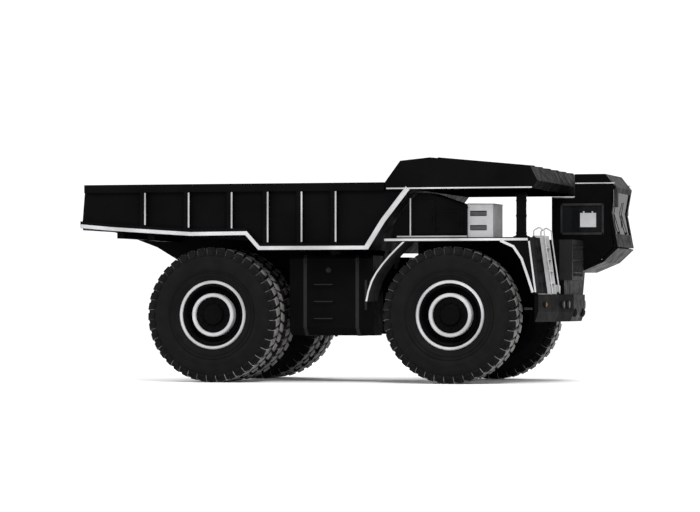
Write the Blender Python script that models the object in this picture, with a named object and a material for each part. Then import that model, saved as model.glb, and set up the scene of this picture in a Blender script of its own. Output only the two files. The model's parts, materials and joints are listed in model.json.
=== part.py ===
"""Rigid-frame mining dump truck, parked with its bed down: metres, +X forward, +Y left, +Z up."""

import math

import bmesh
import bpy
from mathutils import Matrix, Vector

# ---------------------------------------------------------------- driving sizes
WHEELBASE = 4.89
REAR_OVERHANG = 2.70
FRONT_OVERHANG = 2.83
BED_WIDTH = 5.20
TYRE_RADIUS = 1.35
TYRE_WIDTH = 0.74
TRACK_OUTER = 2.40  # outer face of the outermost tyres, from the middle

TOUCH = 0.0003  # gap between faces that rest on each other
PIN_GAP = 0.0006  # running gap round pins, rods and spindles
TWIN_GAP = 0.10  # between the two rear tyres of a side
WHEEL_CLEARANCE = 0.03  # from a steered tyre to what stands round it

LENGTH = REAR_OVERHANG + WHEELBASE + FRONT_OVERHANG
REAR_AXLE_X = REAR_OVERHANG - LENGTH / 2
FRONT_AXLE_X = REAR_AXLE_X + WHEELBASE
AXLE_Z = TYRE_RADIUS
TYRE_TOP = 2 * TYRE_RADIUS


def rear(x):
    """A place measured forward from the rear axle."""
    return REAR_AXLE_X + x


def front(x):
    """A place measured forward from the front axle."""
    return FRONT_AXLE_X + x


def up(z):
    """A height measured from the top of the tyres."""
    return TYRE_TOP + z


# ---------------------------------------------------------------- chassis sizes
RAIL_INNER = 0.42
RAIL_WIDTH = 0.26
RAIL_OUTER = RAIL_INNER + RAIL_WIDTH
RAIL_TOP = up(-0.44)
RAIL_BOTTOM = up(-0.92)
RAIL_FRONT_TOP = up(-0.65)
RAIL_FRONT_BOTTOM = up(-1.20)
RAIL_END_X = front(1.97)

KINGPIN_INSET = 0.18  # from the kingpin out to the tyre's inner face
KINGPIN_Y = TRACK_OUTER - TYRE_WIDTH - KINGPIN_INSET
STEER_SWEEP = math.hypot(TYRE_RADIUS, TRACK_OUTER - KINGPIN_Y)
STRUT_RADIUS = 0.12
STRUT_BOTTOM = up(-0.95)
STRUT_TOP = up(-0.10)
COLLAR_RADIUS = 0.165
CARRIER_PLATE = 0.07
COLLAR_Z = (up(-0.60), up(-0.27))

BED_PIVOT_X = rear(-1.00)
BED_PIVOT_Z = up(-0.58)
BED_PIN_RADIUS = 0.07

HOIST_Y = 0.22
HOIST_FOOT = Vector((rear(0.95), 0, up(-1.35)))
HOIST_HEAD = Vector((rear(2.75), 0, up(-0.22)))
HOIST_PIN_RADIUS = 0.06
BARREL_RADIUS = 0.11
BARREL_LENGTH = 1.90
HOIST_ROD_RADIUS = 0.07
HOIST_EYE_RADIUS = 0.12
HOIST_EYE_WIDTH = 0.16
ROD_ENGAGED = 1.72  # how deep the rod stands in the barrel at rest

DECK_UNDERSIDE = up(0.10)
DECK_THICKNESS = 0.08
DECK_TOP = DECK_UNDERSIDE + DECK_THICKNESS
DECK_OUTER = 2.45
DECK_REAR = front(-1.30)
HOOD_HALF_WIDTH = 0.60
HOOD_WALL = 0.04
HOOD_TOP = DECK_TOP - 0.02
DECK_INNER = HOOD_HALF_WIDTH + TOUCH
REAR_POST_X = (front(-1.02), front(-0.90))
FRONT_POST_X = (front(1.50), front(1.62))
POST_TOP_LAP = 0.02  # how far a post runs up into the deck it carries

BUMPER_BOTTOM = up(-1.48)
BUMPER_TOP = up(-0.94)
BUMPER_REAR = front(1.72)

TANK_INNER = 1.10
TANK_OUTER = 1.90
TANK_BOTTOM = up(-1.76)
TANK_TOP = up(-0.16)
TANK_REAR = rear(TYRE_RADIUS + 0.15)
TANK_FRONT = front(-STEER_SWEEP - WHEEL_CLEARANCE)

CAB_RIGHT = 0.62
CAB_LEFT = 2.50
CAB_WALL = 0.06
CAB_REAR = front(1.46)
CAB_STEP = front(1.94)  # where the roof rises, clear of the canopy's lip
CAB_BOTTOM = up(-0.48)
CAB_LOW_ROOF = up(1.06)
CAB_HIGH_ROOF = up(1.52)
GLASS_THICKNESS = 0.012

CABINET_Y = (-2.35, -1.35)

# ---------------------------------------------------------------- bed sizes
BED_HALF = BED_WIDTH / 2
BED_PLATE = 0.06
RIB_DEPTH = 0.10
SIDE_INNER = BED_HALF - RIB_DEPTH - BED_PLATE
BED_TOP = up(1.27)
CANOPY_UNDERSIDE = up(1.13)
BOLSTER_Y = (0.35, 0.70)
BOLSTER_BOTTOM = up(-0.40)
TAIL_FLOOR = up(0.48)
FRONT_FLOOR = up(0.04)
FLOOR_THICKNESS = 0.09
HEADBOARD_THICKNESS = 0.09


# ---------------------------------------------------------------- shape helpers
def clear_scene():
    for obj in list(bpy.data.objects):
        bpy.data.objects.remove(obj, do_unlink=True)


def material(name, colour, roughness, metallic=0.0, alpha=1.0):
    made = bpy.data.materials.get(name)
    if made:
        return made
    made = bpy.data.materials.new(name)
    made.use_nodes = True
    shader = made.node_tree.nodes["Principled BSDF"]
    shader.inputs["Base Color"].default_value = (*colour, 1)
    shader.inputs["Roughness"].default_value = roughness
    shader.inputs["Metallic"].default_value = metallic
    shader.inputs["Alpha"].default_value = alpha
    return made


def black_paint():
    return material("black_paint", (0.02, 0.02, 0.022), 0.35)


def silver_paint():
    return material("silver_paint", (0.72, 0.73, 0.74), 0.4, 0.3)


def grey_paint():
    return material("grey_paint", (0.32, 0.33, 0.34), 0.5)


def dark_steel():
    return material("dark_steel", (0.06, 0.06, 0.065), 0.5, 0.6)


def polished_steel():
    return material("polished_steel", (0.7, 0.7, 0.72), 0.15, 1.0)


def tyre_rubber():
    return material("tyre_rubber", (0.03, 0.03, 0.03), 0.85)


def tinted_glass():
    return material("tinted_glass", (0.03, 0.04, 0.05), 0.05, 0.0, 0.6)


def seat_fabric():
    return material("seat_fabric", (0.05, 0.05, 0.06), 0.9)


def shape(build):
    """A closed mesh object from a bmesh that build fills in."""
    mesh = bpy.data.meshes.new("shape")
    work = bmesh.new()
    build(work)
    bmesh.ops.recalc_face_normals(work, faces=work.faces)
    work.to_mesh(mesh)
    work.free()
    made = bpy.data.objects.new("shape", mesh)
    bpy.context.scene.collection.objects.link(made)
    return made


def loft(sections):
    """A solid through closed outlines that have equally many 3-D points."""

    def build(work):
        rings = [[work.verts.new(point) for point in section] for section in sections]
        count = len(rings[0])
        for lower, upper in zip(rings, rings[1:]):
            for i in range(count):
                j = (i + 1) % count
                work.faces.new((lower[i], lower[j], upper[j], upper[i]))
        work.faces.new(rings[0])
        work.faces.new(rings[-1])

    return shape(build)


def side_prism(outline, y_start, y_end):
    """An (x, z) outline carried across from y_start to y_end."""
    return loft([[(x, y, z) for x, z in outline] for y in (y_start, y_end)])


def plan_prism(outline, z_start, z_end):
    """An (x, y) outline carried up from z_start to z_end."""
    return loft([[(x, y, z) for x, y in outline] for z in (z_start, z_end)])


def box(x_range, y_range, z_range):
    (x0, x1), z = x_range, z_range
    return side_prism([(x0, z[0]), (x1, z[0]), (x1, z[1]), (x0, z[1])], *y_range)


def mirrored(side, low, high):
    """A y range given outward from the middle, on the left (1) or the right (-1)."""
    return (low, high) if side > 0 else (-high, -low)


def rod(start, end, radius, sides=16):
    """A round bar between two points."""
    start, end = Vector(start), Vector(end)
    turn = (end - start).to_track_quat("Z", "Y").to_matrix().to_4x4()
    place = Matrix.Translation((start + end) / 2) @ turn

    def build(work):
        bmesh.ops.create_cone(
            work,
            cap_ends=True,
            segments=sides,
            radius1=radius,
            radius2=radius,
            depth=(end - start).length,
            matrix=place,
        )

    return shape(build)


def bore(start, end, pin_radius, sides=16):
    """A cutter for a turning pin's hole: its flats clear the pin's corners."""
    return rod(start, end, (pin_radius + PIN_GAP) / math.cos(math.pi / sides), sides)


def wheel_ring(profile, x, side):
    """A closed (radius, outward y) profile turned about a wheel's axle, with a flat facet down."""
    sections = []
    stretch = 1 / math.cos(math.pi / WHEEL_STEPS)  # radii are measured to the middle of a facet
    for step in range(WHEEL_STEPS):
        angle = 2 * math.pi * (step + 0.5) / WHEEL_STEPS
        across, height = stretch * math.cos(angle), stretch * math.sin(angle)
        sections.append([(x + r * across, side * y, AXLE_Z + r * height) for r, y in profile])

    def build(work):
        rings = [[work.verts.new(point) for point in section] for section in sections]
        count = len(profile)
        for this, following in zip(rings, rings[1:] + rings[:1]):
            for i in range(count):
                j = (i + 1) % count
                work.faces.new((this[i], this[j], following[j], following[i]))

    return shape(build)


def boolean(base, others, operation):
    for other in others:
        step = base.modifiers.new(operation.lower(), "BOOLEAN")
        step.operation = operation
        step.solver = "EXACT"
        step.object = other


def node(name, finish, parts, cuts=(), pivot=(0, 0, 0), smooth=False):
    """One named solid: parts joined, cuts taken out, its origin on pivot."""
    base = parts[0]
    boolean(base, parts[1:], "UNION")
    boolean(base, cuts, "DIFFERENCE")
    graph = bpy.context.evaluated_depsgraph_get()
    mesh = bpy.data.meshes.new_from_object(base.evaluated_get(graph))
    for piece in (*parts, *cuts):
        bpy.data.objects.remove(piece, do_unlink=True)
    mesh.name = name
    mesh.transform(Matrix.Translation(-Vector(pivot)))
    mesh.materials.clear()
    mesh.materials.append(finish)
    if smooth:
        mesh.shade_smooth()
        mesh.set_sharp_from_angle(angle=math.radians(35))
    made = bpy.data.objects.new(name, mesh)
    made.location = pivot
    bpy.context.scene.collection.objects.link(made)
    return made


def side_name(side):
    return "left" if side > 0 else "right"


# ---------------------------------------------------------------- chassis
def frame_rail_outline():
    pin_x, pin_z = BED_PIVOT_X, BED_PIVOT_Z
    return [
        (pin_x, RAIL_TOP),
        (pin_x - 0.13, RAIL_TOP - 0.04),
        (pin_x - 0.18, pin_z),
        (pin_x - 0.13, pin_z - 0.13),
        (pin_x, pin_z - 0.19),
        (rear(-0.75), RAIL_BOTTOM),
        (front(-1.65), RAIL_BOTTOM),
        (front(-1.20), RAIL_FRONT_BOTTOM),
        (RAIL_END_X, RAIL_FRONT_BOTTOM),
        (RAIL_END_X, RAIL_FRONT_TOP),
        (front(-1.03), RAIL_FRONT_TOP),
        (front(-1.40), RAIL_TOP),
    ]


def strut_carrier(side):
    """The tower, arm and collar that hold a front strut, bolted over the rail."""
    kingpin = side * KINGPIN_Y
    tower_y = mirrored(side, DECK_INNER, RAIL_OUTER + CARRIER_PLATE)
    cheek_y = mirrored(side, RAIL_OUTER + TOUCH, RAIL_OUTER + CARRIER_PLATE)
    arm_y = mirrored(side, RAIL_OUTER, KINGPIN_Y - STRUT_RADIUS)
    low, high = COLLAR_Z
    tower_x = (front(-0.20), front(0.20))
    tower = box(tower_x, tower_y, (RAIL_FRONT_TOP + TOUCH, high))
    cheek = box(tower_x, cheek_y, (RAIL_FRONT_BOTTOM + 0.12, RAIL_FRONT_TOP + 0.05))
    arm = box((front(-0.14), front(0.14)), arm_y, (low + 0.03, high - 0.03))
    collar = rod((FRONT_AXLE_X, kingpin, low), (FRONT_AXLE_X, kingpin, high), COLLAR_RADIUS, 24)
    seat = rod(
        (FRONT_AXLE_X, kingpin, low - 0.1),
        (FRONT_AXLE_X, kingpin, high + 0.1),
        STRUT_RADIUS + TOUCH,
        24,
    )
    node("strut_carrier_" + side_name(side), dark_steel(), [tower, cheek, arm, collar], [seat])


def hoist_foot_lug(side):
    x, z = HOIST_FOOT.x, HOIST_FOOT.z
    outline = [
        (x - 0.14, RAIL_BOTTOM + 0.05),
        (x - 0.10, z - 0.12),
        (x + 0.10, z - 0.12),
        (x + 0.14, RAIL_BOTTOM + 0.05),
    ]
    return side_prism(outline, *mirrored(side, RAIL_INNER - 0.05, RAIL_INNER + 0.02))


def chassis_frame():
    """Two rails, their cross members, and the pins that the bed and the hoists turn on."""
    rails = [side_prism(frame_rail_outline(), *mirrored(s, RAIL_INNER, RAIL_OUTER)) for s in (1, -1)]
    across = (-RAIL_INNER - 0.03, RAIL_INNER + 0.03)
    rear_member_z = (RAIL_BOTTOM + 0.06, RAIL_TOP - 0.12)
    members = [
        box((rear(-0.56), rear(-0.36)), across, rear_member_z),
        box((rear(0.34), rear(0.54)), across, rear_member_z),
        box((rear(2.20), rear(2.40)), across, (RAIL_BOTTOM - 0.08, RAIL_BOTTOM + 0.10)),
        box((front(-1.14), front(-1.02)), across, (RAIL_FRONT_BOTTOM + 0.05, RAIL_FRONT_TOP - 0.05)),
        box((front(1.84), RAIL_END_X), across, (RAIL_FRONT_BOTTOM, RAIL_FRONT_TOP)),
    ]
    bed_pin_end = Vector((0, RAIL_OUTER + 0.03, 0))
    bed_pin_middle = Vector((BED_PIVOT_X, 0, BED_PIVOT_Z))
    hoist_pin_end = Vector((0, RAIL_INNER, 0))
    pins = [
        rod(bed_pin_middle - bed_pin_end, bed_pin_middle + bed_pin_end, BED_PIN_RADIUS),
        rod(HOIST_FOOT - hoist_pin_end, HOIST_FOOT + hoist_pin_end, HOIST_PIN_RADIUS),
    ]
    lugs = [hoist_foot_lug(1), hoist_foot_lug(-1)]
    node("chassis_frame", black_paint(), rails + members + pins + lugs)


def deck_post(side, x_range, top):
    """A post that stands on the frame rail, under a deck or the cab."""
    y_range = mirrored(side, HOOD_HALF_WIDTH + 0.02, HOOD_HALF_WIDTH + 0.14)
    return box(x_range, y_range, (RAIL_FRONT_TOP + TOUCH, top))


def bumper_plan(inset):
    """Half-hexagonal plan whose front is set back by inset all round."""
    outer = [(2.15, 0.60), (1.98, 1.30), (1.80, TRACK_OUTER)]
    right = [(front(x - inset), -y) for x, y in outer]
    left = [(front(x - inset), y) for x, y in reversed(outer)]
    back = [(BUMPER_REAR, TRACK_OUTER), (BUMPER_REAR, 1.20), (RAIL_END_X + TOUCH, 0.80)]
    back += [(x, -y) for x, y in reversed(back)]
    return right[::-1] + left[::-1] + back


def front_bumper():
    levels = [(BUMPER_BOTTOM, 0.07), (BUMPER_BOTTOM + 0.20, 0.0), (BUMPER_TOP, 0.0)]
    sections = [[(x, y, z) for x, y in bumper_plan(inset)] for z, inset in levels]
    node("front_bumper", black_paint(), [loft(sections)])


def radiator():
    core = box(
        (front(1.86), front(2.12)),
        (-HOOD_HALF_WIDTH, HOOD_HALF_WIDTH),
        (RAIL_FRONT_TOP + TOUCH, HOOD_TOP),
    )
    mouth = box(
        (front(2.06), front(2.30)),
        (-HOOD_HALF_WIDTH + 0.08, HOOD_HALF_WIDTH - 0.08),
        (RAIL_FRONT_TOP + 0.08, HOOD_TOP - 0.10),
    )
    node("radiator", dark_steel(), [core], [mouth])


def engine_hood():
    x_range = (front(-1.00), front(1.86) - TOUCH)
    outer = box(x_range, (-HOOD_HALF_WIDTH, HOOD_HALF_WIDTH), (RAIL_FRONT_TOP + TOUCH, HOOD_TOP))
    inner_half = HOOD_HALF_WIDTH - HOOD_WALL
    inside = box(
        (x_range[0] - 0.1, x_range[1] + 0.1),
        (-inner_half, inner_half),
        (RAIL_FRONT_TOP - 0.1, HOOD_TOP - HOOD_WALL),
    )
    node("engine_hood", black_paint(), [outer], [inside])


def engine_block():
    half = RAIL_INNER - TOUCH
    outline = [
        (front(-0.95), up(-1.25)),
        (front(1.10), up(-1.25)),
        (front(1.10), up(-0.35)),
        (front(0.95), up(-0.25)),
        (front(-0.80), up(-0.25)),
        (front(-0.95), up(-0.35)),
    ]
    node("engine_block", dark_steel(), [side_prism(outline, -half, half)])


def wheel_arch():
    """The line that a front fender keeps round the steered tyre."""
    return [
        (front(1.05), DECK_UNDERSIDE),
        (front(1.30), up(-0.02)),
        (front(1.46), up(-0.25)),
        (front(1.58), up(-0.60)),
        (front(1.68), BUMPER_TOP + TOUCH),
    ]


def deck_right():
    outline = [(DECK_REAR, DECK_UNDERSIDE)] + wheel_arch()
    outline += [
        (front(1.78), BUMPER_TOP + TOUCH),
        (front(1.64), DECK_TOP),
        (DECK_REAR, DECK_TOP),
    ]
    block = side_prism(outline, -DECK_OUTER, -DECK_INNER)
    over_rail = box(
        (front(1.40), front(1.90)),
        (-HOOD_HALF_WIDTH - 0.16, -HOOD_HALF_WIDTH + 0.05),
        (BUMPER_TOP - 0.1, RAIL_FRONT_TOP + TOUCH),
    )
    post = deck_post(-1, REAR_POST_X, DECK_UNDERSIDE + POST_TOP_LAP)
    node("deck_right", black_paint(), [block, post], [over_rail])


def deck_left():
    behind_cab = CAB_REAR - TOUCH
    plate = box((DECK_REAR, behind_cab), (DECK_INNER, DECK_OUTER), (DECK_UNDERSIDE, DECK_TOP))
    apron_outline = [
        (front(1.05), DECK_UNDERSIDE + 0.02),
        (front(1.05), DECK_UNDERSIDE),
        (front(1.28), up(-0.04)),
        (front(1.40), up(-0.30)),
        (front(1.43), CAB_BOTTOM - TOUCH),
        (front(1.55), up(-0.70)),
        (front(1.66), BUMPER_TOP + TOUCH),
        (front(1.76), BUMPER_TOP + TOUCH),
        (front(1.80), CAB_BOTTOM - TOUCH),
        (behind_cab, CAB_BOTTOM - TOUCH),
        (behind_cab, DECK_UNDERSIDE + 0.02),
    ]
    apron = side_prism(apron_outline, HOOD_HALF_WIDTH + 0.16, DECK_OUTER)
    post = deck_post(1, REAR_POST_X, DECK_UNDERSIDE + POST_TOP_LAP)
    node("deck_left", black_paint(), [plate, apron, post])


def side_tank(name, side):
    """A tank with its lower edges cut back, on two brackets bolted to the rail."""
    x0, x1 = TANK_REAR, TANK_FRONT
    y0, y1 = TANK_INNER, TANK_OUTER
    section = [
        (y0, TANK_BOTTOM + 0.10),
        (y0 + 0.10, TANK_BOTTOM),
        (y1 - 0.16, TANK_BOTTOM),
        (y1, TANK_BOTTOM + 0.16),
        (y1, TANK_TOP - 0.06),
        (y1 - 0.06, TANK_TOP),
        (y0, TANK_TOP),
    ]
    body = loft([[(x, side * y, z) for y, z in section] for x in (x0, x1)])
    bracket_y = mirrored(side, RAIL_OUTER + TOUCH, y0 + 0.02)
    brackets = [
        box((x - 0.09, x + 0.09), bracket_y, (RAIL_BOTTOM + 0.10, RAIL_TOP - 0.08))
        for x in (x0 + 0.35, x1 - 0.35)
    ]
    node(name, black_paint(), [body] + brackets)


def rear_axle():
    case_half = 0.30
    case = box((rear(-0.34), rear(0.34)), (-case_half, case_half), (AXLE_Z - 0.36, AXLE_Z + 0.36))
    nose = box((rear(0.30), rear(0.62)), (-0.16, 0.16), (AXLE_Z - 0.16, AXLE_Z + 0.16))
    tube_end = TRACK_OUTER - TYRE_WIDTH
    housing = rod((REAR_AXLE_X, -0.76, AXLE_Z), (REAR_AXLE_X, 0.76, AXLE_Z), 0.34, 24)
    spindle_ends = [(REAR_AXLE_X, y, AXLE_Z) for y in (-tube_end, tube_end)]
    spindle = rod(*spindle_ends, REAR_SPINDLE_RADIUS, 24)
    arms = [
        box((rear(-0.72), rear(-0.20)), mirrored(s, 0.42, 0.66), (AXLE_Z - 0.34, AXLE_Z - 0.16))
        for s in (1, -1)
    ]
    node("rear_axle", dark_steel(), [housing, spindle, case, nose] + arms)


def rear_cylinder(side):
    x, y = rear(-0.60), side * 0.54
    bottom, top = AXLE_Z - 0.16 + TOUCH, RAIL_BOTTOM - TOUCH
    middle = (bottom + top) / 2
    lower = rod((x, y, bottom), (x, y, middle + 0.01), 0.075)
    upper = rod((x, y, middle), (x, y, top), 0.105)
    node("rear_cylinder_" + side_name(side), dark_steel(), [lower, upper], smooth=True)


def front_strut(side):
    y = side * KINGPIN_Y
    barrel = rod((FRONT_AXLE_X, y, STRUT_BOTTOM), (FRONT_AXLE_X, y, STRUT_TOP), STRUT_RADIUS, 24)
    node("front_strut_" + side_name(side), dark_steel(), [barrel], smooth=True)


# ---------------------------------------------------------------- cab
def cab_bottom_line(lift):
    return [
        (CAB_REAR, CAB_BOTTOM + lift),
        (front(2.05), CAB_BOTTOM + lift),
        (front(2.53) - 0.4 * lift, up(-0.28) + lift),
        (front(FRONT_OVERHANG) - 1.3 * lift, up(0) + 0.4 * lift),
    ]


def cab_floor():
    outer = cab_bottom_line(0)
    inner = cab_bottom_line(CAB_WALL)
    outline = outer + inner[::-1]
    shell = side_prism(outline, CAB_RIGHT, CAB_LEFT)
    post = deck_post(1, FRONT_POST_X, CAB_BOTTOM + POST_TOP_LAP)
    node("cab_floor", black_paint(), [shell, post])


def cab_front_line(inset):
    return [
        (front(FRONT_OVERHANG) - inset, up(0.03)),
        (front(2.70) - inset, up(0.73)),
        (front(2.79) - inset, up(1.24)),
    ]


def cab_front():
    outline = cab_front_line(0) + cab_front_line(CAB_WALL)[::-1]
    wall = side_prism(outline, CAB_RIGHT, CAB_LEFT)
    hole = box((front(2.40), front(3.00)), (CAB_RIGHT + 0.12, CAB_LEFT - 0.12), (up(0.30), up(1.14)))
    node("cab_front", black_paint(), [wall], [hole])


def cab_roof():
    outer = [
        (front(2.79), up(1.24) + TOUCH),
        (front(2.57), CAB_HIGH_ROOF),
        (CAB_STEP, CAB_HIGH_ROOF),
        (CAB_STEP, CAB_LOW_ROOF),
        (CAB_REAR, CAB_LOW_ROOF),
    ]
    inner = [
        (CAB_REAR, CAB_LOW_ROOF - CAB_WALL),
        (CAB_STEP + CAB_WALL, CAB_LOW_ROOF - CAB_WALL),
        (CAB_STEP + CAB_WALL, CAB_HIGH_ROOF - CAB_WALL),
        (front(2.57) - 0.03, CAB_HIGH_ROOF - CAB_WALL),
        (front(2.79) - CAB_WALL, up(1.24) + TOUCH),
    ]
    node("cab_roof", black_paint(), [side_prism(outer + inner, CAB_RIGHT, CAB_LEFT)])


def cab_rear():
    z_range = (CAB_BOTTOM + CAB_WALL + TOUCH, CAB_LOW_ROOF - CAB_WALL - TOUCH)
    wall = box((CAB_REAR, CAB_REAR + CAB_WALL), (CAB_RIGHT, CAB_LEFT), z_range)
    node("cab_rear", black_paint(), [wall])


def cab_side_outline():
    """The space between floor, front wall, roof and rear wall."""
    g = TOUCH
    behind = CAB_REAR + CAB_WALL + g
    under_roof = CAB_LOW_ROOF - CAB_WALL - g
    return [
        (behind, CAB_BOTTOM + CAB_WALL + g),
        (front(2.05), CAB_BOTTOM + CAB_WALL + g),
        (front(2.50), up(-0.21)),
        (front(FRONT_OVERHANG) - CAB_WALL - 0.03, up(0.04)),
        (front(2.70) - CAB_WALL - g, up(0.73)),
        (front(2.79) - CAB_WALL - g, up(1.24)),
        (front(2.57) - 0.035, CAB_HIGH_ROOF - CAB_WALL - g),
        (CAB_STEP + CAB_WALL + g, CAB_HIGH_ROOF - CAB_WALL - g),
        (CAB_STEP + CAB_WALL + g, under_roof),
        (behind, under_roof),
    ]


SIDE_WINDOW_X = (front(1.66), front(2.52))
SIDE_WINDOW_Z = (up(0.30), up(0.90))
DOOR_X = (front(1.60), front(2.40))
DOOR_Z = (up(-0.20), up(0.92))
DOOR_GAP = 0.006
DOOR_WINDOW_X = (DOOR_X[0] + 0.12, DOOR_X[1] - 0.12)
DOOR_WINDOW_Z = (up(0.28), DOOR_Z[1] - 0.12)
HINGE_X = DOOR_X[1] + 0.03
HINGE_Y = CAB_LEFT + 0.025
HINGE_PIN_RADIUS = 0.012
HINGE_KNUCKLE_RADIUS = 0.019


def cab_side_right():
    wall = side_prism(cab_side_outline(), CAB_RIGHT, CAB_RIGHT + CAB_WALL)
    hole = box(SIDE_WINDOW_X, (CAB_RIGHT - 0.1, CAB_RIGHT + 0.2), SIDE_WINDOW_Z)
    node("cab_side_right", black_paint(), [wall], [hole])


def hinge_levels():
    low, high = DOOR_Z
    return low + 0.22, high - 0.22


def cab_side_left():
    wall = side_prism(cab_side_outline(), CAB_LEFT - CAB_WALL, CAB_LEFT)
    hole = box(DOOR_X, (CAB_LEFT - 0.2, CAB_LEFT + 0.1), DOOR_Z)
    parts = [wall]
    for z in hinge_levels():
        parts.append(
            rod((HINGE_X, HINGE_Y, z - 0.10), (HINGE_X, HINGE_Y, z + 0.10), HINGE_PIN_RADIUS, 12)
        )
        for end in (-0.10, 0.07):
            parts.append(
                box(
                    (HINGE_X - 0.012, HINGE_X + 0.03),
                    (CAB_LEFT - 0.01, HINGE_Y + 0.014),
                    (z + end, z + end + 0.03),
                )
            )
    base = parts.pop(0)
    node("cab_side_left", black_paint(), [base] + parts, [hole])


def window_pane(name, x_range, y_middle, z_range, pivot=(0, 0, 0)):
    """A flat pane that fills a side window, TOUCH short of its edges."""
    half = GLASS_THICKNESS / 2
    pane = box(
        (x_range[0] + TOUCH, x_range[1] - TOUCH),
        (y_middle - half, y_middle + half),
        (z_range[0] + TOUCH, z_range[1] - TOUCH),
    )
    node(name, tinted_glass(), [pane], pivot=pivot)


def windshield():
    low, high = up(0.30) + TOUCH, up(1.14) - TOUCH
    waist = up(0.73)

    def face_x(z):
        if z < waist:
            return front(FRONT_OVERHANG) + (z - up(0.03)) / 0.70 * (2.70 - FRONT_OVERHANG)
        return front(2.70) + (z - waist) / 0.51 * 0.09

    heights = (low, waist, high)
    outer = [(face_x(z) - 0.02, z) for z in heights]
    inner = [(face_x(z) - 0.02 - GLASS_THICKNESS, z) for z in reversed(heights)]
    y_range = (CAB_RIGHT + 0.12 + TOUCH, CAB_LEFT - 0.12 - TOUCH)
    node("windshield", tinted_glass(), [side_prism(outer + inner, *y_range)])


def cab_door():
    panel = box(
        (DOOR_X[0] + DOOR_GAP, DOOR_X[1] - DOOR_GAP),
        (CAB_LEFT - 0.05, CAB_LEFT),
        (DOOR_Z[0] + DOOR_GAP, DOOR_Z[1] - DOOR_GAP),
    )
    hole = box(DOOR_WINDOW_X, (CAB_LEFT - 0.2, CAB_LEFT + 0.1), DOOR_WINDOW_Z)
    parts = [panel]
    bores = [hole]
    for z in hinge_levels():
        low, high = z - 0.06, z + 0.06
        x, y, leaf_y = HINGE_X, HINGE_Y, HINGE_Y + 0.012
        parts.append(box((DOOR_X[1] - 0.10, DOOR_X[1] - 0.05), (CAB_LEFT - 0.01, leaf_y), (low, high)))
        parts.append(box((DOOR_X[1] - 0.06, x), (CAB_LEFT + 0.008, leaf_y), (low, high)))
        parts.append(rod((x, y, low), (x, y, high), HINGE_KNUCKLE_RADIUS, 12))
        bores.append(bore((x, y, low - 0.1), (x, y, high + 0.1), HINGE_PIN_RADIUS, 12))
    pivot = (HINGE_X, HINGE_Y, (DOOR_Z[0] + DOOR_Z[1]) / 2)
    node("cab_door", black_paint(), parts, bores, pivot=pivot)
    window_pane("door_window", DOOR_WINDOW_X, CAB_LEFT - 0.03, DOOR_WINDOW_Z, pivot=pivot)


def driver_seat():
    floor = CAB_BOTTOM + CAB_WALL + TOUCH
    back = CAB_REAR + CAB_WALL + 0.10
    outline = [
        (back, floor + 0.40),
        (back + 0.12, floor),
        (back + 0.42, floor),
        (back + 0.58, floor + 0.40),
        (back + 0.56, floor + 0.52),
        (back + 0.14, floor + 0.50),
        (back + 0.06, floor + 1.18),
        (back - 0.04, floor + 1.16),
    ]
    node("driver_seat", seat_fabric(), [side_prism(outline, 1.36, 1.86)])


def instrument_panel():
    floor = CAB_BOTTOM + CAB_WALL
    outline = [
        (front(2.30), floor + 0.45),
        (front(2.52), floor + 0.40),
        (front(2.62), floor + 0.45),
        (front(2.60), floor + 0.72),
        (front(2.36), floor + 0.66),
    ]
    y_range = (CAB_RIGHT + CAB_WALL + TOUCH, CAB_LEFT - CAB_WALL - TOUCH)
    node("instrument_panel", dark_steel(), [side_prism(outline, *y_range)])


def cab():
    cab_floor()
    cab_front()
    cab_roof()
    cab_rear()
    cab_side_right()
    cab_side_left()
    windshield()
    window_pane("side_window", SIDE_WINDOW_X, CAB_RIGHT + CAB_WALL / 2, SIDE_WINDOW_Z)
    cab_door()
    driver_seat()
    instrument_panel()


# ---------------------------------------------------------------- on the right deck
def control_cabinet():
    deck = DECK_TOP + TOUCH
    outline = [
        (front(-1.18), deck),
        (front(-1.10), up(0.48)),
        (front(-0.70), up(1.00)),
        (front(-0.62), up(1.06)),
        (front(-0.42), up(1.06)),
        (front(0.37), up(0.78)),
        (front(0.37), deck),
    ]
    node("control_cabinet", black_paint(), [side_prism(outline, *CABINET_Y)])


def cooling_air_box():
    x_range = (front(0.37) + TOUCH, front(0.88))
    z_range = (DECK_TOP + TOUCH, up(0.82))
    shell = box(x_range, (CABINET_Y[0] + 0.03, CABINET_Y[1] - 0.10), z_range)
    node("cooling_air_box", grey_paint(), [shell])


def intake_stack():
    x, y = front(1.42), -2.20
    stack = rod((x, y, DECK_TOP + TOUCH), (x, y, up(1.04)), 0.10, 20)
    node("intake_stack", black_paint(), [stack], smooth=True)


LADDER_Y = (-1.80, -1.25)
LADDER_TOP = (front(1.74), DECK_TOP + 0.04)
LADDER_FOOT = (front(1.90), BUMPER_TOP + TOUCH)
LADDER_RUNGS = 4


def front_ladder():
    """Two sloping stringers from the bumper to the deck's edge, with rungs between."""
    (top_x, top_z), (foot_x, foot_z) = LADDER_TOP, LADDER_FOOT
    half = 0.035
    stringer = [
        (foot_x - half, foot_z),
        (foot_x + half, foot_z),
        (top_x + half, top_z),
        (front(1.56), top_z),
        (front(1.56), DECK_TOP + TOUCH),
        (top_x - half, DECK_TOP + TOUCH),
    ]
    y0, y1 = LADDER_Y
    parts = [side_prism(stringer, y0, y0 + 0.04), side_prism(stringer, y1 - 0.04, y1)]
    for i in range(LADDER_RUNGS):
        share = (i + 1) / (LADDER_RUNGS + 1)
        x = foot_x + (top_x - foot_x) * share
        z = foot_z + (top_z - foot_z) * share
        parts.append(box((x - 0.03, x + 0.03), (y0 + 0.01, y1 - 0.01), (z - 0.015, z + 0.015)))
    node("front_ladder", silver_paint(), parts)


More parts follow.
